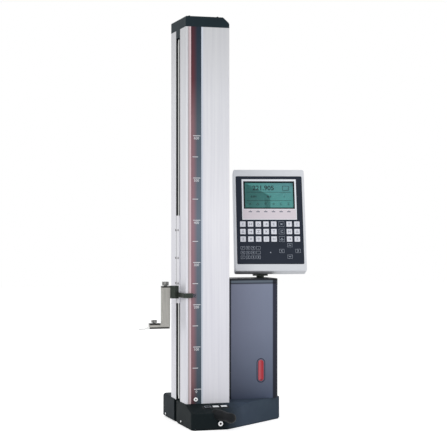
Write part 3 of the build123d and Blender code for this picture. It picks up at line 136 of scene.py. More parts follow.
def hazeFrom(tree, shader, vector, low, high, sizeMm):
    # roughness that drifts between two values
    haze = addNode(tree, "TexNoise", {"Vector": vector, "Scale": 1 / (sizeMm * mm), "Detail": 5.0})
    spread = addNode(tree, "MapRange", {"Value": haze.outputs["Fac"], "To Min": low, "To Max": high})
    tree.links.new(spread.outputs["Result"], shader.inputs["Roughness"])


def texturedPlastic(name, colourA, colourB, roughness, grainMm=0.9, heightMm=0.03, gloss=0.5):
    # ABS moulded against a spark-eroded tool: a fine even grain breaks up the gloss
    material, tree, shader = startMaterial(name)
    paintTo(shader, colourA, roughness)
    shader.inputs["IOR"].default_value = 1.5
    shader.inputs["Specular IOR Level"].default_value = gloss
    vector = objectPattern(tree)
    colourFrom(tree, shader, blotches(tree, vector, colourA, colourB, sizeMm=40))
    grainBump(tree, shader, vector, grainMm, heightMm)
    hazeFrom(tree, shader, vector, roughness - 0.05, roughness + 0.07, sizeMm=18)
    return material


def rawCasting(name, colourA, colourB, roughness):
    # grey iron as cast: dull, with the faint relief of its mould
    material, tree, shader = startMaterial(name)
    paintTo(shader, colourA, roughness)
    shader.inputs["Specular IOR Level"].default_value = 0.12
    vector = objectPattern(tree)
    colourFrom(tree, shader, blotches(tree, vector, colourA, colourB, sizeMm=60))
    grainBump(tree, shader, vector, grainMm=2.4, heightMm=0.05)
    hazeFrom(tree, shader, vector, roughness - 0.06, roughness + 0.08, sizeMm=30)
    return material


dieLines = (1, 1, 0.02)  # lines of an extrusion: fifty times as long as they are wide


def drawnAluminium(name, colourA, colourB, roughness, metallic):
    # clear anodised extrusion: fine die lines run along the length
    material, tree, shader = startMaterial(name)
    paintTo(shader, colourA, roughness, metallic)
    vector = objectPattern(tree, dieLines)
    colourFrom(tree, shader, blotches(tree, vector, colourA, colourB, sizeMm=5))
    grainBump(tree, shader, vector, grainMm=0.7, heightMm=0.012, detail=2.0)
    hazeFrom(tree, shader, vector, roughness - 0.05, roughness + 0.06, sizeMm=2.5)
    return material


def columnAluminium(name, tones, fromZ, toZ):
    # satin anodised extrusion: die lines along the length, a slow change of tone over its height
    material, tree, shader = startMaterial(name)
    paintTo(shader, tones[0][1], roughness=0.42, metallic=0.3)
    vector = objectPattern(tree, dieLines)
    streaks = blotches(tree, vector, "#ffffff", "#f5f5f7", sizeMm=5)
    colourFrom(tree, shader, tonesAlong(tree, "Z", fromZ, toZ, tones), streaks)
    grainBump(tree, shader, vector, grainMm=0.7, heightMm=0.012, detail=2.0)
    hazeFrom(tree, shader, vector, low=0.37, high=0.48, sizeMm=2.5)
    return material


def footEnamel(name, tones, fromX, toX):
    # matt enamel on grey iron with faint orange peel, and painted light across it: painted shade on the left,
    # paler and bluer towards the right
    material, tree, shader = startMaterial(name)
    paintTo(shader, tones[0][1], roughness=0.62)
    shader.inputs["Specular IOR Level"].default_value = 0.05
    vector = objectPattern(tree)
    clouds = blotches(tree, vector, "#ffffff", "#e8ebee", sizeMm=60)
    colourFrom(tree, shader, tonesAlong(tree, "X", fromX, toX, tones), clouds)
    grainBump(tree, shader, vector, grainMm=2.4, heightMm=0.05)
    hazeFrom(tree, shader, vector, low=0.56, high=0.68, sizeMm=30)
    return material


def ringedMetal(name, middle, reach, darkPart):
    # plated metal with painted shade in its hollow middle, told apart by the distance from its own axis along
    # Y
    plated, hollowShade = "#e2e3e4", "#101113"
    edge = darkPart + 0.02  # the black ends over a fiftieth of the reach
    material, tree, shader = startMaterial(name)
    paintTo(shader, plated, roughness=0.3)
    place = addNode(tree, "TexCoord").outputs["Object"]
    centred = addNode(tree, "Mapping", {"Vector": place, "Location": (-middle.x, 0, -middle.z)})
    flat = addNode(tree, "VectorMath", {0: centred.outputs["Vector"], 1: (1, 0, 1)}, operation="MULTIPLY")
    distance = addNode(tree, "VectorMath", {0: flat.outputs["Vector"]}, operation="LENGTH")
    span = addNode(tree, "MapRange", {"Value": distance.outputs["Value"], "From Max": reach})
    ramp = addNode(tree, "ValToRGB", {"Fac": span.outputs["Result"]})
    setStops(ramp, [(darkPart, hollowShade), (edge, plated)])
    colourFrom(tree, shader, ramp.outputs["Color"])
    feeds = {"Value": span.outputs["Result"], "From Min": darkPart, "From Max": edge}
    metal = addNode(tree, "MapRange", feeds)
    tree.links.new(metal.outputs["Result"], shader.inputs["Metallic"])
    grainBump(tree, shader, objectPattern(tree), grainMm=0.4, heightMm=0.008, detail=2.0)
    return material


def groundSteel(name, colourA, colourB, roughness, along=(1, 1, 0.05)):
    # ground or turned metal with lines in the direction of the cut
    material, tree, shader = startMaterial(name)
    paintTo(shader, colourA, roughness, metallic=1.0)
    vector = objectPattern(tree, along)
    colourFrom(tree, shader, blotches(tree, vector, colourA, colourB, sizeMm=3))
    grainBump(tree, shader, vector, grainMm=0.4, heightMm=0.008, detail=2.0)
    hazeFrom(tree, shader, vector, roughness - 0.06, roughness + 0.06, sizeMm=2)
    return material


def blackenedMetal(name, colourA, colourB, roughness):
    # black oxide or black anodising: dark, with a soft metal sheen
    material, tree, shader = startMaterial(name)
    paintTo(shader, colourA, roughness, metallic=0.7)
    vector = objectPattern(tree)
    colourFrom(tree, shader, blotches(tree, vector, colourA, colourB, sizeMm=4))
    grainBump(tree, shader, vector, grainMm=0.5, heightMm=0.01)
    hazeFrom(tree, shader, vector, roughness - 0.08, roughness + 0.08, sizeMm=6)
    return material


def flatCoat(name, colour, roughness=0.5):
    # screen-printed ink, also flat painted shade, shadow and reflection: flat, with a slightly uneven film
    material, tree, shader = startMaterial(name)
    paintTo(shader, colour, roughness)
    vector = objectPattern(tree)
    grainBump(tree, shader, vector, grainMm=0.3, heightMm=0.004)
    hazeFrom(tree, shader, vector, roughness - 0.05, roughness + 0.08, sizeMm=3)
    return material


def softRubber(name, colourA, colourB):
    # moulded rubber: matt, with soft highlights and a fine grain
    material, tree, shader = startMaterial(name)
    paintTo(shader, colourA, roughness=0.55)
    shader.inputs["IOR"].default_value = 1.52
    shader.inputs["Specular IOR Level"].default_value = 0.15
    shader.inputs["Sheen Weight"].default_value = 0.04
    vector = objectPattern(tree)
    colourFrom(tree, shader, blotches(tree, vector, colourA, colourB, sizeMm=15))
    grainBump(tree, shader, vector, grainMm=0.8, heightMm=0.04)
    hazeFrom(tree, shader, vector, low=0.48, high=0.62, sizeMm=10)
    return material


def shadedHousingPaint(name, coat):
    # textured stoved paint with painted shade: darker towards the foot, a painted shadow at the left end
    # beside the column and painted shade round the right corner
    material, tree, shader = startMaterial(name)
    paintTo(shader, coat["heights"][-1][1], roughness=0.5)
    shader.inputs["Specular IOR Level"].default_value = 0.2
    # painted shade over the height, from the coat's table
    tone = tonesAlong(tree, "Z", coat["low"], coat["top"], coat["heights"])
    # painted shadow at the left end and painted shade at the right corner, across the width
    edges = tonesAlong(tree, "X", coat["left"], coat["right"], coat["across"])
    colourFrom(tree, shader, tone, edges)
    vector = objectPattern(tree)
    grainBump(tree, shader, vector, grainMm=0.9, heightMm=0.025)
    hazeFrom(tree, shader, vector, low=0.44, high=0.56, sizeMm=20)
    return material


def scalePrint(name, band):
    # anodised scale strip printed in two runs: maroon fades into slate across its width
    material, tree, shader = startMaterial(name)
    paintTo(shader, band["slate"][0][1], roughness=0.45)
    shader.inputs["Specular IOR Level"].default_value = 0.2
    maroon = tonesAlong(tree, "Z", band["low"], band["top"], band["maroon"])
    slate = tonesAlong(tree, "Z", band["low"], band["top"], band["slate"])
    fade = tonesAlong(tree, "X", band["left"], band["right"], band["fade"])
    mix = addNode(tree, "Mix", {mixFactor: fade, mixFirst: maroon, mixSecond: slate}, data_type="RGBA")
    colourFrom(tree, shader, mix.outputs[mixResult])
    vector = objectPattern(tree)
    grainBump(tree, shader, vector, grainMm=0.5, heightMm=0.006)
    hazeFrom(tree, shader, vector, low=0.4, high=0.5, sizeMm=12)
    return material


def clearPane(name, tint, alpha, roughness, gloss):
    # thin float glass or acrylic: mostly seen by its reflections
    material, tree, shader = startMaterial(name)
    paintTo(shader, tint, roughness)
    shader.inputs["IOR"].default_value = 1.5
    shader.inputs["Specular IOR Level"].default_value = gloss
    shader.inputs["Alpha"].default_value = alpha
    grainBump(tree, shader, objectPattern(tree), grainMm=30, heightMm=0.02, detail=1.0)
    return material


def liquidCrystal(name, lowColour, topColour):
    # reflective liquid crystal behind a polariser, bluer towards the top right
    material, tree, shader = startMaterial(name)
    paintTo(shader, lowColour, roughness=0.45)
    place = addNode(tree, "TexCoord").outputs["Object"]
    axes = addNode(tree, "SeparateXYZ", {"Vector": place})
    lowest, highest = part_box("screen_panel")
    feeds = {"Value": axes.outputs["Z"], "From Min": lowest.z, "From Max": highest.z}
    height = addNode(tree, "MapRange", feeds)
    feeds = {"Value": axes.outputs["X"], "From Min": lowest.x, "From Max": highest.x}
    across = addNode(tree, "MapRange", feeds)
    feeds = {0: height.outputs["Result"], 1: across.outputs["Result"]}
    corner = addNode(tree, "Math", feeds, operation="MULTIPLY")
    ramp = addNode(tree, "ValToRGB", {"Fac": corner.outputs["Value"]})
    setStops(ramp, [(0.2, lowColour), (1, topColour)])
    colourFrom(tree, shader, ramp.outputs["Color"])
    grainBump(tree, shader, objectPattern(tree), grainMm=0.6, heightMm=0.004)
    return material


def redLens(name, tones, fromX, toX):
    # clear red acrylic over a dark cell, with a painted highlight: paler where its rounded side catches the
    # light
    material, tree, shader = startMaterial(name)
    paintTo(shader, tones[-1][1], roughness=0.3)
    shader.inputs["Specular IOR Level"].default_value = 0.25
    shader.inputs["Coat Weight"].default_value = 0.1
    shader.inputs["Coat Roughness"].default_value = 0.08
    # painted highlight across the lens
    colourFrom(tree, shader, tonesAlong(tree, "X", fromX, toX, tones))
    grainBump(tree, shader, objectPattern(tree), grainMm=1.5, heightMm=0.03)
    return material


# Printed scale band: both colours darker towards the cap and the foot, and one ink fades into the other
bandLow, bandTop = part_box("scale_band")
band = {
    "low": bandLow.z,
    "top": bandTop.z,
    "left": bandLow.x,
    "right": bandTop.x,
    "fade": [(0.22, "#000000"), (0.62, "#ffffff")],
    "maroon": [
        (0, "#4f3036"), (0.06, "#7c5c60"), (0.21, "#8d6a72"), (0.47, "#997881"), (0.75, "#836268"),
        (0.86, "#5c3038"), (1, "#43202a"),
    ],
    "slate": [
        (0, "#33404a"), (0.06, "#44505b"), (0.21, "#586470"), (0.47, "#6b7785"), (0.75, "#4b5862"),
        (0.86, "#2b3a48"), (1, "#182634"),
    ],
}
scaleFoil = scalePrint("printed scale foil", band)

# Tower: the shell's and the lid's paint, each with painted shadow at its left end beside the column and
# painted shade round its right corner
shellLow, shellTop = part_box("housing_shell")
lidLow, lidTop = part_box("housing_lid")
lidCoat = {
    "low": lidLow.z,
    "top": lidTop.z,
    # the dark upper part is painted shade on the lid's bevelled top edge
    "heights": [(0, "#5d6874"), (0.5, "#626d79"), (0.6, "#20242b"), (1, "#1c1f25")],
    "left": shellLow.x,
    "right": shellTop.x,
    # dark ends: painted shadow in the gap beside the column at the left, painted shade round the corner at
    # the right
    "across": [
        (0, "#3a3d46"), (0.125, "#3a3d46"), (0.14, "#ffffff"), (0.885, "#ffffff"), (0.9, "#5c5c66"),
        (1, "#5c5c66"),
    ],
}
shellCoat = {
    "low": shellLow.z,
    "top": shellTop.z,
    # darker towards the foot: painted shade; the dark band at the very top is painted shade in the seam under
    # the lid
    "heights": [
        (0, "#485268"), (0.08, "#555e72"), (0.3, "#6a7387"), (0.6, "#7b8398"), (0.985, "#838ba0"),
        (0.995, "#2c313c"),
    ],
    "left": shellLow.x,
    "right": shellTop.x,
    # dark ends: painted shadow in the gap beside the column at the left, painted shade round the corner at
    # the right
    "across": [
        (0, "#3a3d46"), (0.125, "#3a3d46"), (0.14, "#ece9ea"), (0.885, "#ffffff"), (0.9, "#5c5c66"),
        (1, "#5c5c66"),
    ],
}
housingCoat = shadedHousingPaint("grey-blue stoved paint", shellCoat)
lidPlastic = shadedHousingPaint("moulded lid ABS", lidCoat)

# Column and foot: tones from bottom to top and from left to right; the foot's tones are painted shade on the
# left and painted light on the right
columnLow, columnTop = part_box("column_profile")
columnTones = [
    (0, "#dcdce2"), (0.2, "#e0e0e7"), (0.5, "#e7e7ec"), (0.8, "#dcdde1"), (0.93, "#cfd0d3"), (1, "#c8c9cc"),
]
columnSilver = columnAluminium("drawn anodised column", columnTones, columnLow.z, columnTop.z)
castingLow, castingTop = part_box("base_casting")
# painted shade on the left part of the foot, painted light on its bluer right part
footToneAndShade = [(0, "#1a2123"), (0.3, "#1d2528"), (0.52, "#444f5e"), (0.8, "#414d5a"), (1, "#3b4653")]
footPaint = footEnamel("grey-blue enamel on iron", footToneAndShade, castingLow.x, castingTop.x)

# Round metal parts with painted shade in their hollow middle
socketLow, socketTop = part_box("supply_socket")
socketShape = {"reach": 5.0, "darkPart": 0.56}
socketMetal = ringedMetal(
    "nickel socket", (socketLow + socketTop) / 2, socketShape["reach"] * mm, socketShape["darkPart"]
)
screwLow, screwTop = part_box("scale_screw")
screwRecess = 0.4
screwMetal = ringedMetal(
    "bright screw with a dark recess", (screwLow + screwTop) / 2, (screwTop.x - screwLow.x) / 2, screwRecess
)

# Signal lens, with a painted highlight on its left part
lensLow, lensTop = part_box("signal_lens")
lensToneAndHighlight = [(0, "#a83842"), (0.3, "#bd5862"), (0.6, "#b32b37"), (1, "#a02531")]
lensRed = redLens("red acrylic", lensToneAndHighlight, lensLow.x, lensTop.x)

# Metals
satinSilver = drawnAluminium("satin anodised aluminium", "#e6e6ea", "#dedee4", roughness=0.42, metallic=0.35)
darkAnodised = blackenedMetal("black anodised aluminium", "#373d38", "#2e342f", roughness=0.42)
blackOxide = blackenedMetal("black oxide steel", "#2b2b2b", "#3a3936", roughness=0.38)
knurledSteel = groundSteel("knurled steel", "#adadab", "#3b3b3a", roughness=0.4, along=(1.6, 1.6, 0.5))
mattNickel = groundSteel("matt nickel plate", "#a9a7a2", "#9b9a95", roughness=0.42)
groundGuide = groundSteel("ground guide steel", "#c9cac9", "#bdbebd", roughness=0.33)
brightZinc = groundSteel("bright zinc plate", "#e2e3e4", "#d2d3d4", roughness=0.28, along=(1, 1, 1))
pumpBrass = groundSteel("turned brass", "#c9a24b", "#b98f3c", roughness=0.32, along=(1, 1, 1))
castIron = rawCasting("plain grey iron", "#4a4a4a", "#3f3f40", roughness=0.6)

# Plastics and rubbers
coverPlastic = texturedPlastic("moulded cover ABS", "#272e32", "#242a2f", roughness=0.62, gloss=0.05)
capPlastic = texturedPlastic("moulded cap ABS", "#1d2b31", "#1a262c", roughness=0.6, gloss=0.12)
casingPlastic = texturedPlastic("pale grey casing ABS", "#dcdfe4", "#d7dadf", roughness=0.45)
blackPlastic = texturedPlastic(
    "black acetal", "#17191b", "#1d1f21", roughness=0.5, grainMm=0.7, heightMm=0.02, gloss=0.15
)
foilPlastic = texturedPlastic(
    "dark polyester foil", "#202733", "#232a37", roughness=0.5, grainMm=0.5, heightMm=0.01, gloss=0.18
)
bezelPlastic = texturedPlastic(
    "pale printed foil", "#eef2f8", "#ebeef4", roughness=0.42, grainMm=0.5, heightMm=0.01
)
keyPlastic = texturedPlastic(
    "pearl grey key caps", "#e2e4ec", "#dcdfe8", roughness=0.40, grainMm=0.6, heightMm=0.015
)
screenBlack = texturedPlastic(
    "black painted frame", "#101216", "#14161a", roughness=0.45, grainMm=0.6, heightMm=0.01, gloss=0.15
)
gripRubber = softRubber("black nitrile rubber", "#0b0e11", "#0f1216")
beltRubber = softRubber("chloroprene belt", "#161616", "#1c1c1c")
# dark lens rim: a gasket that also stands in for the painted shade of the lens recess
darkRimRubber = softRubber("dark lens gasket", "#2a2633", "#302b39")

# Display and panes
screenLiquid = liquidCrystal("liquid crystal cell", "#519e9a", "#5a959c")
paneGlass = clearPane("float glass pane", "#101c20", alpha=0.06, roughness=0.06, gloss=0.2)
windowAcrylic = clearPane("cast acrylic window", "#56606a", alpha=0.38, roughness=0.12, gloss=0.12)

# Inks, lacquer and flat painted shade, shadow and reflection
boardGreen = flatCoat("solder lacquer", "#1f5a3a", roughness=0.35)
whiteInk = flatCoat("white screen ink", "#e3e6ea")
greyInk = flatCoat("grey screen ink", "#686c7a")
paleInk = flatCoat("pale grey screen ink", "#b2bac7")
darkInk = flatCoat("dark display segments", "#0f2a30")
# painted reflection of the red band and painted shade on the corner, for the strips beside the scale band
pinkReflection = flatCoat("pale pink painted reflection", "#d9bfc4")
mauveShade = flatCoat("mauve grey painted shade", "#b0a3a6")
paleBlueEdge = flatCoat("pale blue edge strip", "#ccd3df")
stripInk = flatCoat("pinkish soft key strip", "#dcd3da")
# painted shadow of the gap behind the carriage plate
gapShadowPaint = flatCoat("painted gap shadow", "#6a6469")

materialNodes = {
    columnSilver: ["column_profile"],
    satinSilver: [
        "carriage_plate", "carriage_cheeks", "belt_clamp", "air_pump", "upper_pulley", "drive_pulley",
    ],
    darkAnodised: ["clamp_block", "pointer_arm", "swivel_neck", "tilt_lug"],
    blackOxide: ["holder_top_plate", "stylus_jaw", "stylus_shoe", "carriage_screws", "column_bolts"],
    knurledSteel: ["holder_screw", "stylus_screw"],
    mattNickel: ["probe_holder"],
    groundGuide: [
        "guide_bar", "measuring_strip", "roller_cartridges", "pulley_bracket", "tilt_pin", "stylus",
    ],
    screwMetal: ["scale_screw"],
    socketMetal: ["supply_socket"],
    footPaint: ["base_casting"],
    coverPlastic: ["rear_cover"],
    lidPlastic: ["housing_lid"],
    capPlastic: ["column_cap"],
    blackPlastic: [
        "slot_liners", "drive_motor", "battery_pack", "key_frame", "quick_key_1", "quick_key_2",
        "quick_key_3",
    ],
    casingPlastic: ["unit_front", "unit_rear"],
    foilPlastic: ["keypad_foil"],
    bezelPlastic: ["screen_bezel"],
    keyPlastic: ["white_keys"],
    housingCoat: ["housing_shell", "housing_door"],
    gripRubber: ["hand_grip"],
    beltRubber: ["drive_belt"],
    pumpBrass: ["air_jets"],
    castIron: ["counterweight"],
    boardGreen: ["pickup_board", "power_board", "unit_board", "switch_board"],
    screenBlack: ["screen_frame"],
    screenLiquid: ["screen_panel"],
    paneGlass: ["screen_glass"],
    windowAcrylic: ["index_window"],
    lensRed: ["signal_lens"],
    scaleFoil: ["scale_band"],
}
for material, names in materialNodes.items():
    for name in names:
        nodes[name].data.materials.clear()
        nodes[name].data.materials.append(material)
unpainted = set(nodes) - {name for names in materialNodes.values() for name in names}
print("materials set, nodes left:", sorted(unpainted))


def placeOn(origin, right, up):
    # matrix of a flat place: its right, its up and its outward normal
    right = Vector(right).normalized()
    up = Vector(up).normalized()
    turn = Matrix((right, up, right.cross(up))).transposed().to_4x4()
    return Matrix.Translation(origin) @ turn


def at(place, x, y, lift=0.0, turn=0.0):
    # a point of a place given in millimetres, turned about the outward direction
    shift = Matrix.Translation((x * mm, y * mm, lift * mm))
    return place @ shift @ Matrix.Rotation(math.radians(turn), 4, "Z")


def startSheet(width, height):
    # flat rectangle, left in edit mode with all of it selected
    deselectAll()
    bpy.ops.mesh.primitive_plane_add(size=1)
    sheet = bpy.context.object
    sheet.scale = (width * mm, height * mm, 1)
    bpy.ops.object.transform_apply(location=False, rotation=False, scale=True)
    bpy.ops.object.mode_set(mode="EDIT")
    bpy.ops.mesh.select_all(action="SELECT")
    return sheet


def cutMiddle(line):
    # leaves a rim of the sheet that is open in edit mode
    bpy.ops.mesh.inset(thickness=line * mm)
    bpy.ops.mesh.delete(type="FACE")


def raiseSheet(thickness):
    # draws the sheet that is open in edit mode up into a closed solid
    bpy.ops.mesh.select_all(action="SELECT")
    bpy.ops.mesh.extrude_region_move(TRANSFORM_OT_translate={"value": (0, 0, thickness * mm)})
    bpy.ops.mesh.select_all(action="SELECT")
    bpy.ops.mesh.normals_make_consistent(inside=False)
    bpy.ops.object.mode_set(mode="OBJECT")


def flatBlank(width, height, thickness):
    blank = startSheet(width, height)
    raiseSheet(thickness)
    return blank


def rimBlank(width, height, line, thickness):
    rim = startSheet(width, height)
    cutMiddle(line)
    raiseSheet(thickness)
    return rim


def stadiumRing(width, height, line, thickness):
    # ring with round ends, from a circle whose halves are moved apart
    onMiddle = 0.001 * mm
    deselectAll()
    bpy.ops.mesh.primitive_circle_add(vertices=48, radius=width * mm / 2, fill_type="NGON")
    ring = bpy.context.object
    for vertex in ring.data.vertices:
        if abs(vertex.co.y) > onMiddle:
            vertex.co.y += math.copysign((height - width) * mm / 2, vertex.co.y)
    bpy.ops.object.mode_set(mode="EDIT")
    bpy.ops.mesh.select_all(action="SELECT")
    cutMiddle(line)
    raiseSheet(thickness)
    return ring


def printedText(text, size, thickness, weight=0.0):
    # figures as a closed mesh that stands up from its place
    mergeGap = 0.002 * mm
    deselectAll()
    bpy.ops.object.text_add()
    label = bpy.context.object
    label.data.body = text
    label.data.size = size * mm
    label.data.extrude = thickness * mm / 2
    label.data.offset = weight * mm
    label.data.align_x = "CENTER"
    label.data.align_y = "CENTER"
    label.data.resolution_u = 4
    bpy.ops.object.convert(target="MESH")
    label = bpy.context.object
    bpy.ops.object.mode_set(mode="EDIT")
    bpy.ops.mesh.select_all(action="SELECT")
    bpy.ops.mesh.remove_doubles(threshold=mergeGap)
    bpy.ops.mesh.normals_make_consistent(inside=False)
    bpy.ops.transform.translate(value=(0, 0, thickness * mm / 2))
    bpy.ops.object.mode_set(mode="OBJECT")
    return label


def screwHead(screw):
    # turned head with a rolled edge and a round recess
    sides, edgeShare, edgeSteps = 36, 0.25, 2
    facesUp, nearAxis = 0.9, 0.2  # the top face looks up, and its middle is near the axis
    radius, height = screw["radius"] * mm, screw["height"] * mm
    middle = (0, 0, height / 2)
    deselectAll()
    bpy.ops.mesh.primitive_cylinder_add(vertices=sides, radius=radius, depth=height, location=middle)
    head = bpy.context.object
    bpy.ops.object.transform_apply(location=True, rotation=False, scale=False)
    bpy.ops.object.mode_set(mode="EDIT")
    bpy.ops.mesh.select_all(action="DESELECT")
    bpy.ops.object.mode_set(mode="OBJECT")
    for face in head.data.polygons:
        face.select = face.normal.z > facesUp
    bpy.ops.object.mode_set(mode="EDIT")
    bpy.ops.mesh.bevel(offset=height * edgeShare, segments=edgeSteps)
    bpy.ops.object.mode_set(mode="OBJECT")
    for face in head.data.polygons:
        face.select = face.normal.z > facesUp and face.center.xy.length < radius * nearAxis
    bpy.ops.object.mode_set(mode="EDIT")
    bpy.ops.mesh.inset(thickness=radius - screw["recess"] * mm)
    bpy.ops.mesh.extrude_region_move(TRANSFORM_OT_translate={"value": (0, 0, -screw["depth"] * mm)})
    bpy.ops.mesh.select_all(action="SELECT")
    bpy.ops.mesh.normals_make_consistent(inside=False)
    bpy.ops.object.mode_set(mode="OBJECT")
    return head


def placed(blank, matrix):
    # the blank itself, its place written into its mesh
    blank.data.transform(matrix)
    return blank


def stampCopy(blank, matrix):
    # copy with its own mesh, its place written into the mesh
    copy = blank.copy()
    copy.data = blank.data.copy()
    copy.data.transform(matrix)
    bpy.context.collection.objects.link(copy)
    return copy


def drop(blank):
    bpy.data.objects.remove(blank, do_unlink=True)


def joinPieces(pieces):
    deselectAll()
    for piece in pieces:
        piece.select_set(True)
    bpy.context.view_layer.objects.active = pieces[0]
    bpy.ops.object.join()
    return bpy.context.view_layer.objects.active


def finishPiece(name, piece, material, body):
    smoothUpTo = 30
    piece.name = name
    piece.data.materials.clear()
    piece.data.materials.append(material)
    deselectAll()
    piece.select_set(True)
    bpy.context.view_layer.objects.active = piece
    bpy.ops.object.shade_smooth_by_angle(angle=math.radians(smoothUpTo))
    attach(piece, body)


# Flat places that the frame gives: the column's front, the unit's face and back, the sloping nose
def placeBox(name, place):
    # lowest and highest corner of a node, in a place's own right, up and outward directions
    inverse = place.inverted()
    points = [inverse @ vertex.co for vertex in nodes[name].data.vertices]
    lowest = Vector(min(point[axis] for point in points) for axis in range(3))
    highest = Vector(max(point[axis] for point in points) for axis in range(3))
    return lowest, highest


def widestNormal(name, towards):
    # the direction in which most of a node's surface that looks towards a side faces
    towardsSide, decimals = 0.5, 3
    areas = {}
    for face in nodes[name].data.polygons:
        if face.normal.dot(Vector(towards)) > towardsSide:
            key = tuple(round(part, decimals) for part in face.normal)
            areas[key] = areas.get(key, 0) + face.area
    return Vector(max(areas, key=areas.get)).normalized()


def facePlace(name, right, towards):
    # place at the bottom middle of the side of a node that looks towards a direction
    outward = widestNormal(name, towards)
    right = Vector(right).normalized()
    place = placeOn((0, 0, 0), right, outward.cross(right))
    lowest, highest = placeBox(name, place)
    middle = place @ Vector(((lowest.x + highest.x) / 2, lowest.y, highest.z))
    return placeOn(middle, right, outward.cross(right))


tiltAxis = Vector(next(joint for joint in frame["joints"] if joint["name"] == "unit_tilt")["axis"])
unitPlace = facePlace("unit_front", tiltAxis, (0, -1, 0))
unitBack = facePlace("unit_rear", -tiltAxis, (0, 1, 0))
bandPlace = placeOn((columnLow.x, bandLow.y, 0), (1, 0, 0), (0, 0, 1))
columnPlace = placeOn((columnLow.x, columnLow.y, 0), (1, 0, 0), (0, 0, 1))
print("places found, unit face at", [round(part, 4) for part in unitPlace.translation])

# Printed scale: lines every fifty millimetres and figures every hundred
scale = {
    "zero": 89.7,
    "step": 50,
    "steps": 12,
    "lineHeight": 1.3,
    "longLine": (17.3, 35.5),
    "shortLine": (16.2, 29.6),
    "zeroLine": (19.7, 37.4),
    "figureSize": 8.6,
    "figureDrop": 6.0,
    "figureMiddle": 25.5,
    "ink": 0.06,
}
lineBlanks = {}
for kind in ("longLine", "shortLine", "zeroLine"):
    start, end = scale[kind]
    lineBlanks[kind] = flatBlank(end - start, scale["lineHeight"], scale["ink"])
marks = []
for step in range(scale["steps"] + 1):
    height = scale["zero"] + step * scale["step"]
    kind = "shortLine" if step % 2 else "longLine" if step else "zeroLine"
    marks.append(stampCopy(lineBlanks[kind], at(bandPlace, sum(scale[kind]) / 2, height)))
    if step % 2 == 0:
        label = printedText(str(step * scale["step"]), scale["figureSize"], scale["ink"])
        marks.append(placed(label, at(bandPlace, scale["figureMiddle"], height - scale["figureDrop"])))
for blank in lineBlanks.values():
    drop(blank)
finishPiece("scaleMarks", joinPieces(marks), whiteInk, "stand")
print("scale marks printed")

# Strips left and right of the band, straight on the column: painted shade on the corner and a painted
# reflection of the red band at the left, a pale blue strip at the right
film = {
    "thickness": 0.12,
    "edges": {
        # painted shade on the rounded corner beside the band
        "scaleEdgeShade": (5.0, 8.6, mauveShade),
        # painted reflection of the red band on the edge of its recess
        "scaleEdgeReflection": (8.6, 12.3, pinkReflection),
        "scaleEdgePale": (37.7, 42.0, paleBlueEdge),
    },
}
columnMiddle = (columnTop.z + columnLow.z) / 2 / mm
for name, (start, end, ink) in film["edges"].items():
    edge = flatBlank(end - start, (columnTop.z - columnLow.z) / mm, film["thickness"])
    edge = placed(edge, at(columnPlace, (start + end) / 2, columnMiddle))
    finishPiece(name, edge, ink, "stand")
print("film edges printed")


def strokeFigure(strokes, line, ink):
    # one figure of a few bars, each given as (middle x, middle y, length, turn)
    bars = [
        placed(flatBlank(length, line, ink), at(Matrix(), x, y, turn=turn))
        for x, y, length, turn in strokes
    ]
    return joinPieces(bars)


# Symbols of the keys and the display: plain figures of two or three strokes
symbols = {
    "line": 0.9,
    "ink": 0.05,
    "figures": [
        [(0, 2.6, 7, 0), (0, -2.6, 7, 0), (0, 0, 5.6, 90)],
        [(-2.6, 0, 6, 90), (2.6, 0, 6, 90), (0, 0, 5, 0)],
        [(0, 0, 7, 45), (0, 0, 7, -45)],
        [(0, -2.6, 7, 0), (-1.6, 0.4, 5.4, 55), (1.6, 0.4, 5.4, -55)],
        [(0, 2.4, 6, 0), (0, 0, 4, 0), (0, -2.4, 2, 0)],
        [(0, 0, 7, 0), (2, 1.2, 3.6, -40), (2, -1.2, 3.6, 40)],
        [(-1.5, 0, 7, 90), (1.8, 2.4, 3.4, 0), (1.8, -2.4, 3.4, 0)],
    ],
}
symbolBlanks = [strokeFigure(strokes, symbols["line"], symbols["ink"]) for strokes in symbols["figures"]]

# Keypad of the unit: the pitch and the first key are read from the key caps themselves
keypad = {
    "columns": 8,
    "rows": 3,
    "darkColumn": 5,
    "keySize": 13.5,
    "ink": 0.05,
    "keyLine": 0.45,
    "symbolsRight": 2,  # how far the choice of symbol moves on, from key to key
    "symbolsUp": 3,
    "digits": ("1230", "456.", "789-"),  # rows from the bottom up
    "digitPitch": (12.8, 12.0),
    "digitFirst": (-68.5, 35.0),
    "digitKey": (10.0, 8.0),
    "digitText": 6.2,
    "arrowMiddle": (48.0, 51.0),
    "arrowReach": (20.0, 14.5),
    "arrowKey": (12.0, 9.5),
    "arrowHead": [(-1.3, 0, 4.2, 42), (1.3, 0, 4.2, -42)],
    "dotRow": 47.4,
    "dotSize": 2.4,
    "dotSink": 0.5,
}
keyLow, keyHigh = placeBox("white_keys", unitPlace)
keyPitch = ((keyHigh.x - keyLow.x) / mm - keypad["keySize"]) / (keypad["columns"] - 1)
firstKey = keyLow.x / mm + keypad["keySize"] / 2
lowRow = keyLow.y / mm + keypad["keySize"] / 2
keyTop = keyHigh.z / mm
foilTop = placeBox("keypad_foil", unitPlace)[1].z / mm
bezelTop = placeBox("screen_bezel", unitPlace)[1].z / mm
panelTop = placeBox("screen_panel", unitPlace)[1].z / mm

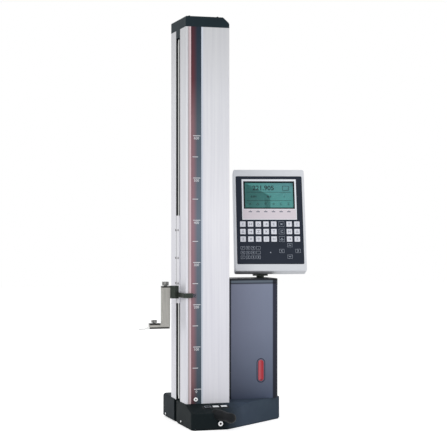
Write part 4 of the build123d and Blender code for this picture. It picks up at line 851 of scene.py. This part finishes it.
whiteSymbols = []
darkOutlines = []
outline = rimBlank(keypad["keySize"], keypad["keySize"], keypad["keyLine"], keypad["ink"])
for column in range(keypad["columns"]):
    for row in range(keypad["rows"]):
        x = firstKey + column * keyPitch
        y = lowRow + row * keyPitch
        choice = column * keypad["symbolsRight"] + row * keypad["symbolsUp"]
        symbol = symbolBlanks[choice % len(symbolBlanks)]
        if column == keypad["darkColumn"]:
            onFoil = at(unitPlace, x, y, foilTop)
            darkOutlines += [stampCopy(outline, onFoil), stampCopy(symbol, onFoil)]
        else:
            whiteSymbols.append(stampCopy(symbol, at(unitPlace, x, y, keyTop)))
drop(outline)
finishPiece("keySymbols", joinPieces(whiteSymbols), greyInk, "unit")

outline = rimBlank(*keypad["digitKey"], keypad["keyLine"], keypad["ink"])
for row, figures in enumerate(keypad["digits"]):
    for column, figure in enumerate(figures):
        x = keypad["digitFirst"][0] + column * keypad["digitPitch"][0]
        y = keypad["digitFirst"][1] + row * keypad["digitPitch"][1]
        onFoil = at(unitPlace, x, y, foilTop)
        darkOutlines.append(stampCopy(outline, onFoil))
        darkOutlines.append(placed(printedText(figure, keypad["digitText"], keypad["ink"]), onFoil))
drop(outline)

outline = rimBlank(*keypad["arrowKey"], keypad["keyLine"], keypad["ink"])
arrowHead = strokeFigure(keypad["arrowHead"], symbols["line"], keypad["ink"])
arrowX, arrowY = keypad["arrowMiddle"]
reachX, reachY = keypad["arrowReach"]
arrows = [(-reachX, 0, 90), (reachX, 0, -90), (0, -reachY, 180), (0, reachY, 0)]
for x, y, turn in arrows:
    darkOutlines.append(stampCopy(outline, at(unitPlace, arrowX + x, arrowY + y, foilTop)))
    darkOutlines.append(stampCopy(arrowHead, at(unitPlace, arrowX + x, arrowY + y, foilTop, turn)))
drop(outline)
drop(arrowHead)
dot = flatBlank(keypad["dotSize"], keypad["dotSize"], keypad["ink"])
darkOutlines.append(placed(dot, at(unitPlace, 0, keypad["dotRow"], foilTop - keypad["dotSink"])))
finishPiece("keyOutlines", joinPieces(darkOutlines), paleInk, "unit")
print("keypad printed")

# Strip of the bezel that carries the soft keys, and a bar with a tick over each of them
softKeys = {
    "row": 152.0,
    "first": -47.7,
    "pitch": 19.2,
    "keys": 6,
    "bar": (8.5, 2.4),
    "tick": (1.2, 2.0),
    "tickRise": 3.0,
    "ink": 0.05,
    "stripLow": 133.0,
    "stripSize": (133.0, 25.0),
    "stripInk": 0.04,
}
softBar = flatBlank(*softKeys["bar"], softKeys["ink"])
softTick = flatBlank(*softKeys["tick"], softKeys["ink"])
softMarks = []
for index in range(softKeys["keys"]):
    x = softKeys["first"] + index * softKeys["pitch"]
    softMarks.append(stampCopy(softBar, at(unitPlace, x, softKeys["row"], bezelTop)))
    softMarks.append(stampCopy(softTick, at(unitPlace, x, softKeys["row"] + softKeys["tickRise"], bezelTop)))
drop(softBar)
drop(softTick)
finishPiece("softKeyMarks", joinPieces(softMarks), greyInk, "unit")
strip = flatBlank(*softKeys["stripSize"], softKeys["stripInk"])
stripMiddle = softKeys["stripLow"] + softKeys["stripSize"][1] / 2
strip = placed(strip, at(unitPlace, 0, stripMiddle, bezelTop - softKeys["stripInk"] / 2))
finishPiece("softKeyStrip", strip, stripInk, "unit")
print("soft keys printed")

# Display content: one large reading, a small row between two ruled lines and a row of symbols
display = {
    "reading": "221.905",
    "readingSize": 17,
    "readingWeight": 0.35,
    "readingAt": (-14, 214),
    "lineRows": (203.5, 181.5),
    "lineWidth": 112,
    "lineHeight": 1.0,
    "smallRow": 192,
    "smallFigures": ("0.001", "20.0", "1"),
    "smallSize": 7,
    "smallWeight": 0.175,
    "smallPitch": 38,
    "fields": 6,
    "fieldRow": 173,
    "fieldFirst": -47.7,
    "fieldPitch": 19.2,
    "fieldSymbol": 2,
    "iconAt": (42, 214),
    "iconSize": (16, 12),
    "iconLine": 1.0,
    "ink": 0.05,
}
label = printedText(display["reading"], display["readingSize"], display["ink"], display["readingWeight"])
content = [placed(label, at(unitPlace, *display["readingAt"], panelTop))]
ruledLine = flatBlank(display["lineWidth"], display["lineHeight"], display["ink"])
content += [stampCopy(ruledLine, at(unitPlace, 0, row, panelTop)) for row in display["lineRows"]]
drop(ruledLine)
for index in range(display["fields"]):
    x = display["fieldFirst"] + index * display["fieldPitch"]
    symbol = symbolBlanks[(index + display["fieldSymbol"]) % len(symbolBlanks)]
    content.append(stampCopy(symbol, at(unitPlace, x, display["fieldRow"], panelTop)))
for blank in symbolBlanks:
    drop(blank)
for index, figure in enumerate(display["smallFigures"]):
    label = printedText(figure, display["smallSize"], display["ink"], display["smallWeight"])
    x = (index - 1) * display["smallPitch"]
    content.append(placed(label, at(unitPlace, x, display["smallRow"], panelTop)))
icon = rimBlank(*display["iconSize"], display["iconLine"], display["ink"])
content.append(placed(icon, at(unitPlace, *display["iconAt"], panelTop)))
finishPiece("displayContent", joinPieces(content), darkInk, "unit")
print("display drawn")

# Legends on the three quick keys: an outline on the first, filled fields on the others
quickLegend = {"marginX": 3.4, "marginY": 1.6, "line": 0.8, "ink": 0.06, "towards": (0, -0.26, 0.97)}
for number in (1, 2, 3):
    keyName = f"quick_key_{number}"
    keyPlace = facePlace(keyName, (1, 0, 0), quickLegend["towards"])
    lowest, highest = placeBox(keyName, keyPlace)
    width = (highest.x - lowest.x) / mm - quickLegend["marginX"]
    length = (highest.y - lowest.y) / mm - quickLegend["marginY"]
    if number == 1:
        legend = rimBlank(width, length, quickLegend["line"], quickLegend["ink"])
    else:
        legend = flatBlank(width, length, quickLegend["ink"])
    legend = placed(legend, at(keyPlace, 0, (lowest.y + highest.y) / 2 / mm))
    legendInk = whiteInk if number > 1 else paleInk
    finishPiece(f"quickKeyLegend{number}", legend, legendInk, keyName)
print("quick key legends printed")

# Painted shadow of the gap behind the carriage plate: a dark line down its rear part
plateGapShadow = {"fromRear": 11.5, "width": 2.4, "ink": 0.1, "gap": 0.3}
plateLow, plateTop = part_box("carriage_plate")
lineMiddle = (plateLow.x, plateTop.y - plateGapShadow["fromRear"] * mm, (plateLow.z + plateTop.z) / 2)
lineLength = (plateTop.z - plateLow.z) / mm - 2 * plateGapShadow["gap"]
line = flatBlank(plateGapShadow["width"], lineLength, plateGapShadow["ink"])
line = placed(line, placeOn(lineMiddle, (0, -1, 0), (0, 0, 1)))
finishPiece("plateGapShadow", line, gapShadowPaint, "carriage")
print("carriage plate lined")

# Gasket round the signal lens, which also stands in for the painted shade of the lens recess, and the small
# dark lamp inside it
gasketAndShade = {"width": 1.7, "rise": 0.25}
lensLamp = {"width": 3.0, "height": 3.3, "line": 1.05, "rise": 6.0, "ink": 0.08}
ring = stadiumRing(
    (lensTop.x - lensLow.x) / mm + 2 * gasketAndShade["width"],
    (lensTop.z - lensLow.z) / mm + 2 * gasketAndShade["width"],
    gasketAndShade["width"],
    gasketAndShade["rise"],
)
lensMiddle = Vector(((lensLow.x + lensTop.x) / 2, shellLow.y, (lensLow.z + lensTop.z) / 2))
ring = placed(ring, placeOn(lensMiddle, (1, 0, 0), (0, 0, 1)))
finishPiece("lensGasketAndShade", ring, darkRimRubber, "stand")
lensPlace = facePlace("signal_lens", (1, 0, 0), (0, -1, 0))
ring = stadiumRing(lensLamp["width"], lensLamp["height"], lensLamp["line"], lensLamp["ink"])
ring = placed(ring, at(lensPlace, 0, lensLamp["rise"]))
finishPiece("lensLamp", ring, darkRimRubber, "stand")
print("lens gasket set")


def setScrews(name, screw, matrices, material, body):
    # one head, modelled once and copied to its places
    blank = screwHead(screw)
    heads = [stampCopy(blank, matrix) for matrix in matrices]
    drop(blank)
    finishPiece(name, joinPieces(heads), material, body)


capScrew = {"radius": 2.6, "height": 1.4, "recess": 1.3, "depth": 0.8, "inset": 11, "rightInset": 27}
capLow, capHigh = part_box("column_cap")
capPlace = placeOn((capLow.x, capLow.y, capHigh.z), (1, 0, 0), (0, 1, 0))
capPlaces = [
    at(capPlace, x, y)
    for x in (capScrew["inset"], (capHigh.x - capLow.x) / mm - capScrew["rightInset"])
    for y in (capScrew["inset"], (capHigh.y - capLow.y) / mm - capScrew["inset"])
]
setScrews("capScrews", capScrew, capPlaces, blackOxide, "stand")


def cornerPlaces(name, place, screw):
    # places at the four corners of a node's face, inset and sunk as its screws are
    lowest, highest = placeBox(name, place)
    return [
        at(place, x, y, -screw["sink"])
        for x in (lowest.x / mm + screw["inset"], highest.x / mm - screw["inset"])
        for y in (lowest.y / mm + screw["inset"], highest.y / mm - screw["inset"])
    ]


doorScrew = {"radius": 2.4, "height": 1.1, "recess": 1.2, "depth": 0.6, "inset": 7, "sink": 1.1}
doorPlace = facePlace("housing_door", (-1, 0, 0), (0, 1, 0))
doorPlaces = cornerPlaces("housing_door", doorPlace, doorScrew)
setScrews("doorScrews", doorScrew, doorPlaces, brightZinc, "stand")

unitScrew = {"radius": 2.7, "height": 1.6, "recess": 1.3, "depth": 0.7, "inset": 9, "sink": 1.9}
unitPlaces = cornerPlaces("unit_rear", unitBack, unitScrew)
setScrews("unitScrews", unitScrew, unitPlaces, blackOxide, "unit")

# The foot's left side: one screw in the casting, one in the rear cover
sideScrew = {
    "radius": 2.6,
    "height": 1.2,
    "recess": 1.2,
    "depth": 0.6,
    "rise": 9.8,
    "castingY": -41.3,
    "coverY": 101.4,
}
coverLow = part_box("rear_cover")[0]
sidePlaces = [
    placeOn((x, y * mm, sideScrew["rise"] * mm), (0, -1, 0), (0, 0, 1))
    for x, y in ((castingLow.x, sideScrew["castingY"]), (coverLow.x, sideScrew["coverY"]))
]
setScrews("sideScrews", sideScrew, sidePlaces, brightZinc, "stand")
print("screws set")


def seenDirectly(tree):
    # one for the rays that show the surroundings: camera, mirror and glass rays
    path = addNode(tree, "LightPath")
    feeds = {0: path.outputs["Is Camera Ray"], 1: path.outputs["Is Glossy Ray"]}
    first = addNode(tree, "Math", feeds, operation="MAXIMUM")
    feeds = {0: first.outputs["Value"], 1: path.outputs["Is Transmission Ray"]}
    both = addNode(tree, "Math", feeds, operation="MAXIMUM")
    return both.outputs["Value"]


# White surroundings, a pale floor and soft light
surroundings = {"light": 0.72, "white": 1.0, "floorSize": 14, "floorColour": "#e9e9ea", "floorGlow": 0.56}
pureWhite = linearColour("#ffffff")
world = bpy.data.worlds.new("white surroundings")
bpy.context.scene.world = world
world.use_nodes = True
worldTree = world.node_tree
worldTree.nodes.clear()
soft = addNode(worldTree, "Background", {"Color": pureWhite, "Strength": surroundings["light"]})
white = addNode(worldTree, "Background", {"Color": pureWhite, "Strength": surroundings["white"]})
feeds = {0: seenDirectly(worldTree), 1: soft.outputs["Background"], 2: white.outputs["Background"]}
choice = addNode(worldTree, "MixShader", feeds)
addNode(worldTree, "OutputWorld", {"Surface": choice.outputs["Shader"]})

floorMaterial = bpy.data.materials.new("white floor")
floorMaterial.use_nodes = True
floorTree = floorMaterial.node_tree
floorTree.nodes.clear()
matt = addNode(floorTree, "BsdfDiffuse", {"Color": linearColour(surroundings["floorColour"])})
glow = addNode(floorTree, "Emission", {"Color": pureWhite, "Strength": surroundings["floorGlow"]})
lit = addNode(floorTree, "AddShader", {0: matt.outputs["BSDF"], 1: glow.outputs["Emission"]})
feeds = {0: seenDirectly(floorTree), 1: matt.outputs["BSDF"], 2: lit.outputs["Shader"]}
seen = addNode(floorTree, "MixShader", feeds)
addNode(floorTree, "OutputMaterial", {"Surface": seen.outputs["Shader"]})
deselectAll()
bpy.ops.mesh.primitive_plane_add(size=surroundings["floorSize"])
floor = bpy.context.object
floor.name = "floor"
floor.data.materials.append(floorMaterial)

lamps = {
    "keyLight": {"place": (-2.0, -2.2, 2.4), "size": 1.6, "power": 21.0},
    "fillLight": {"place": (2.4, -2.0, 1.2), "size": 1.8, "power": 9.0},
    "rimLight": {"place": (0.5, 2.4, 2.2), "size": 1.6, "power": 6.0},
    "lowLight": {"place": (-0.5, -2.6, 0.12), "size": 1.2, "power": 5.0},
}
objectMiddle = Vector((0, 0, 0.45))
for name, lamp in lamps.items():
    light = bpy.data.lights.new(name, "AREA")
    light.size = lamp["size"]
    light.energy = lamp["power"]
    holder = bpy.data.objects.new(name, light)
    bpy.context.collection.objects.link(holder)
    holder.location = lamp["place"]
    aim = objectMiddle - Vector(lamp["place"])
    holder.rotation_euler = aim.to_track_quat("-Z", "Y").to_euler()
print("surroundings and lamps set")

cameraSettings = {"place": (-0.9893, -3.1918, 0.482), "turn": (90, 0, -17), "lens": 110.1, "sensor": 36}
camera = bpy.data.objects.new("camera", bpy.data.cameras.new("camera"))
bpy.context.collection.objects.link(camera)
camera.location = cameraSettings["place"]
camera.rotation_euler = [math.radians(angle) for angle in cameraSettings["turn"]]
camera.data.lens = cameraSettings["lens"]
camera.data.sensor_width = cameraSettings["sensor"]
bpy.context.scene.camera = camera
bpy.context.scene.view_settings.view_transform = "Standard"
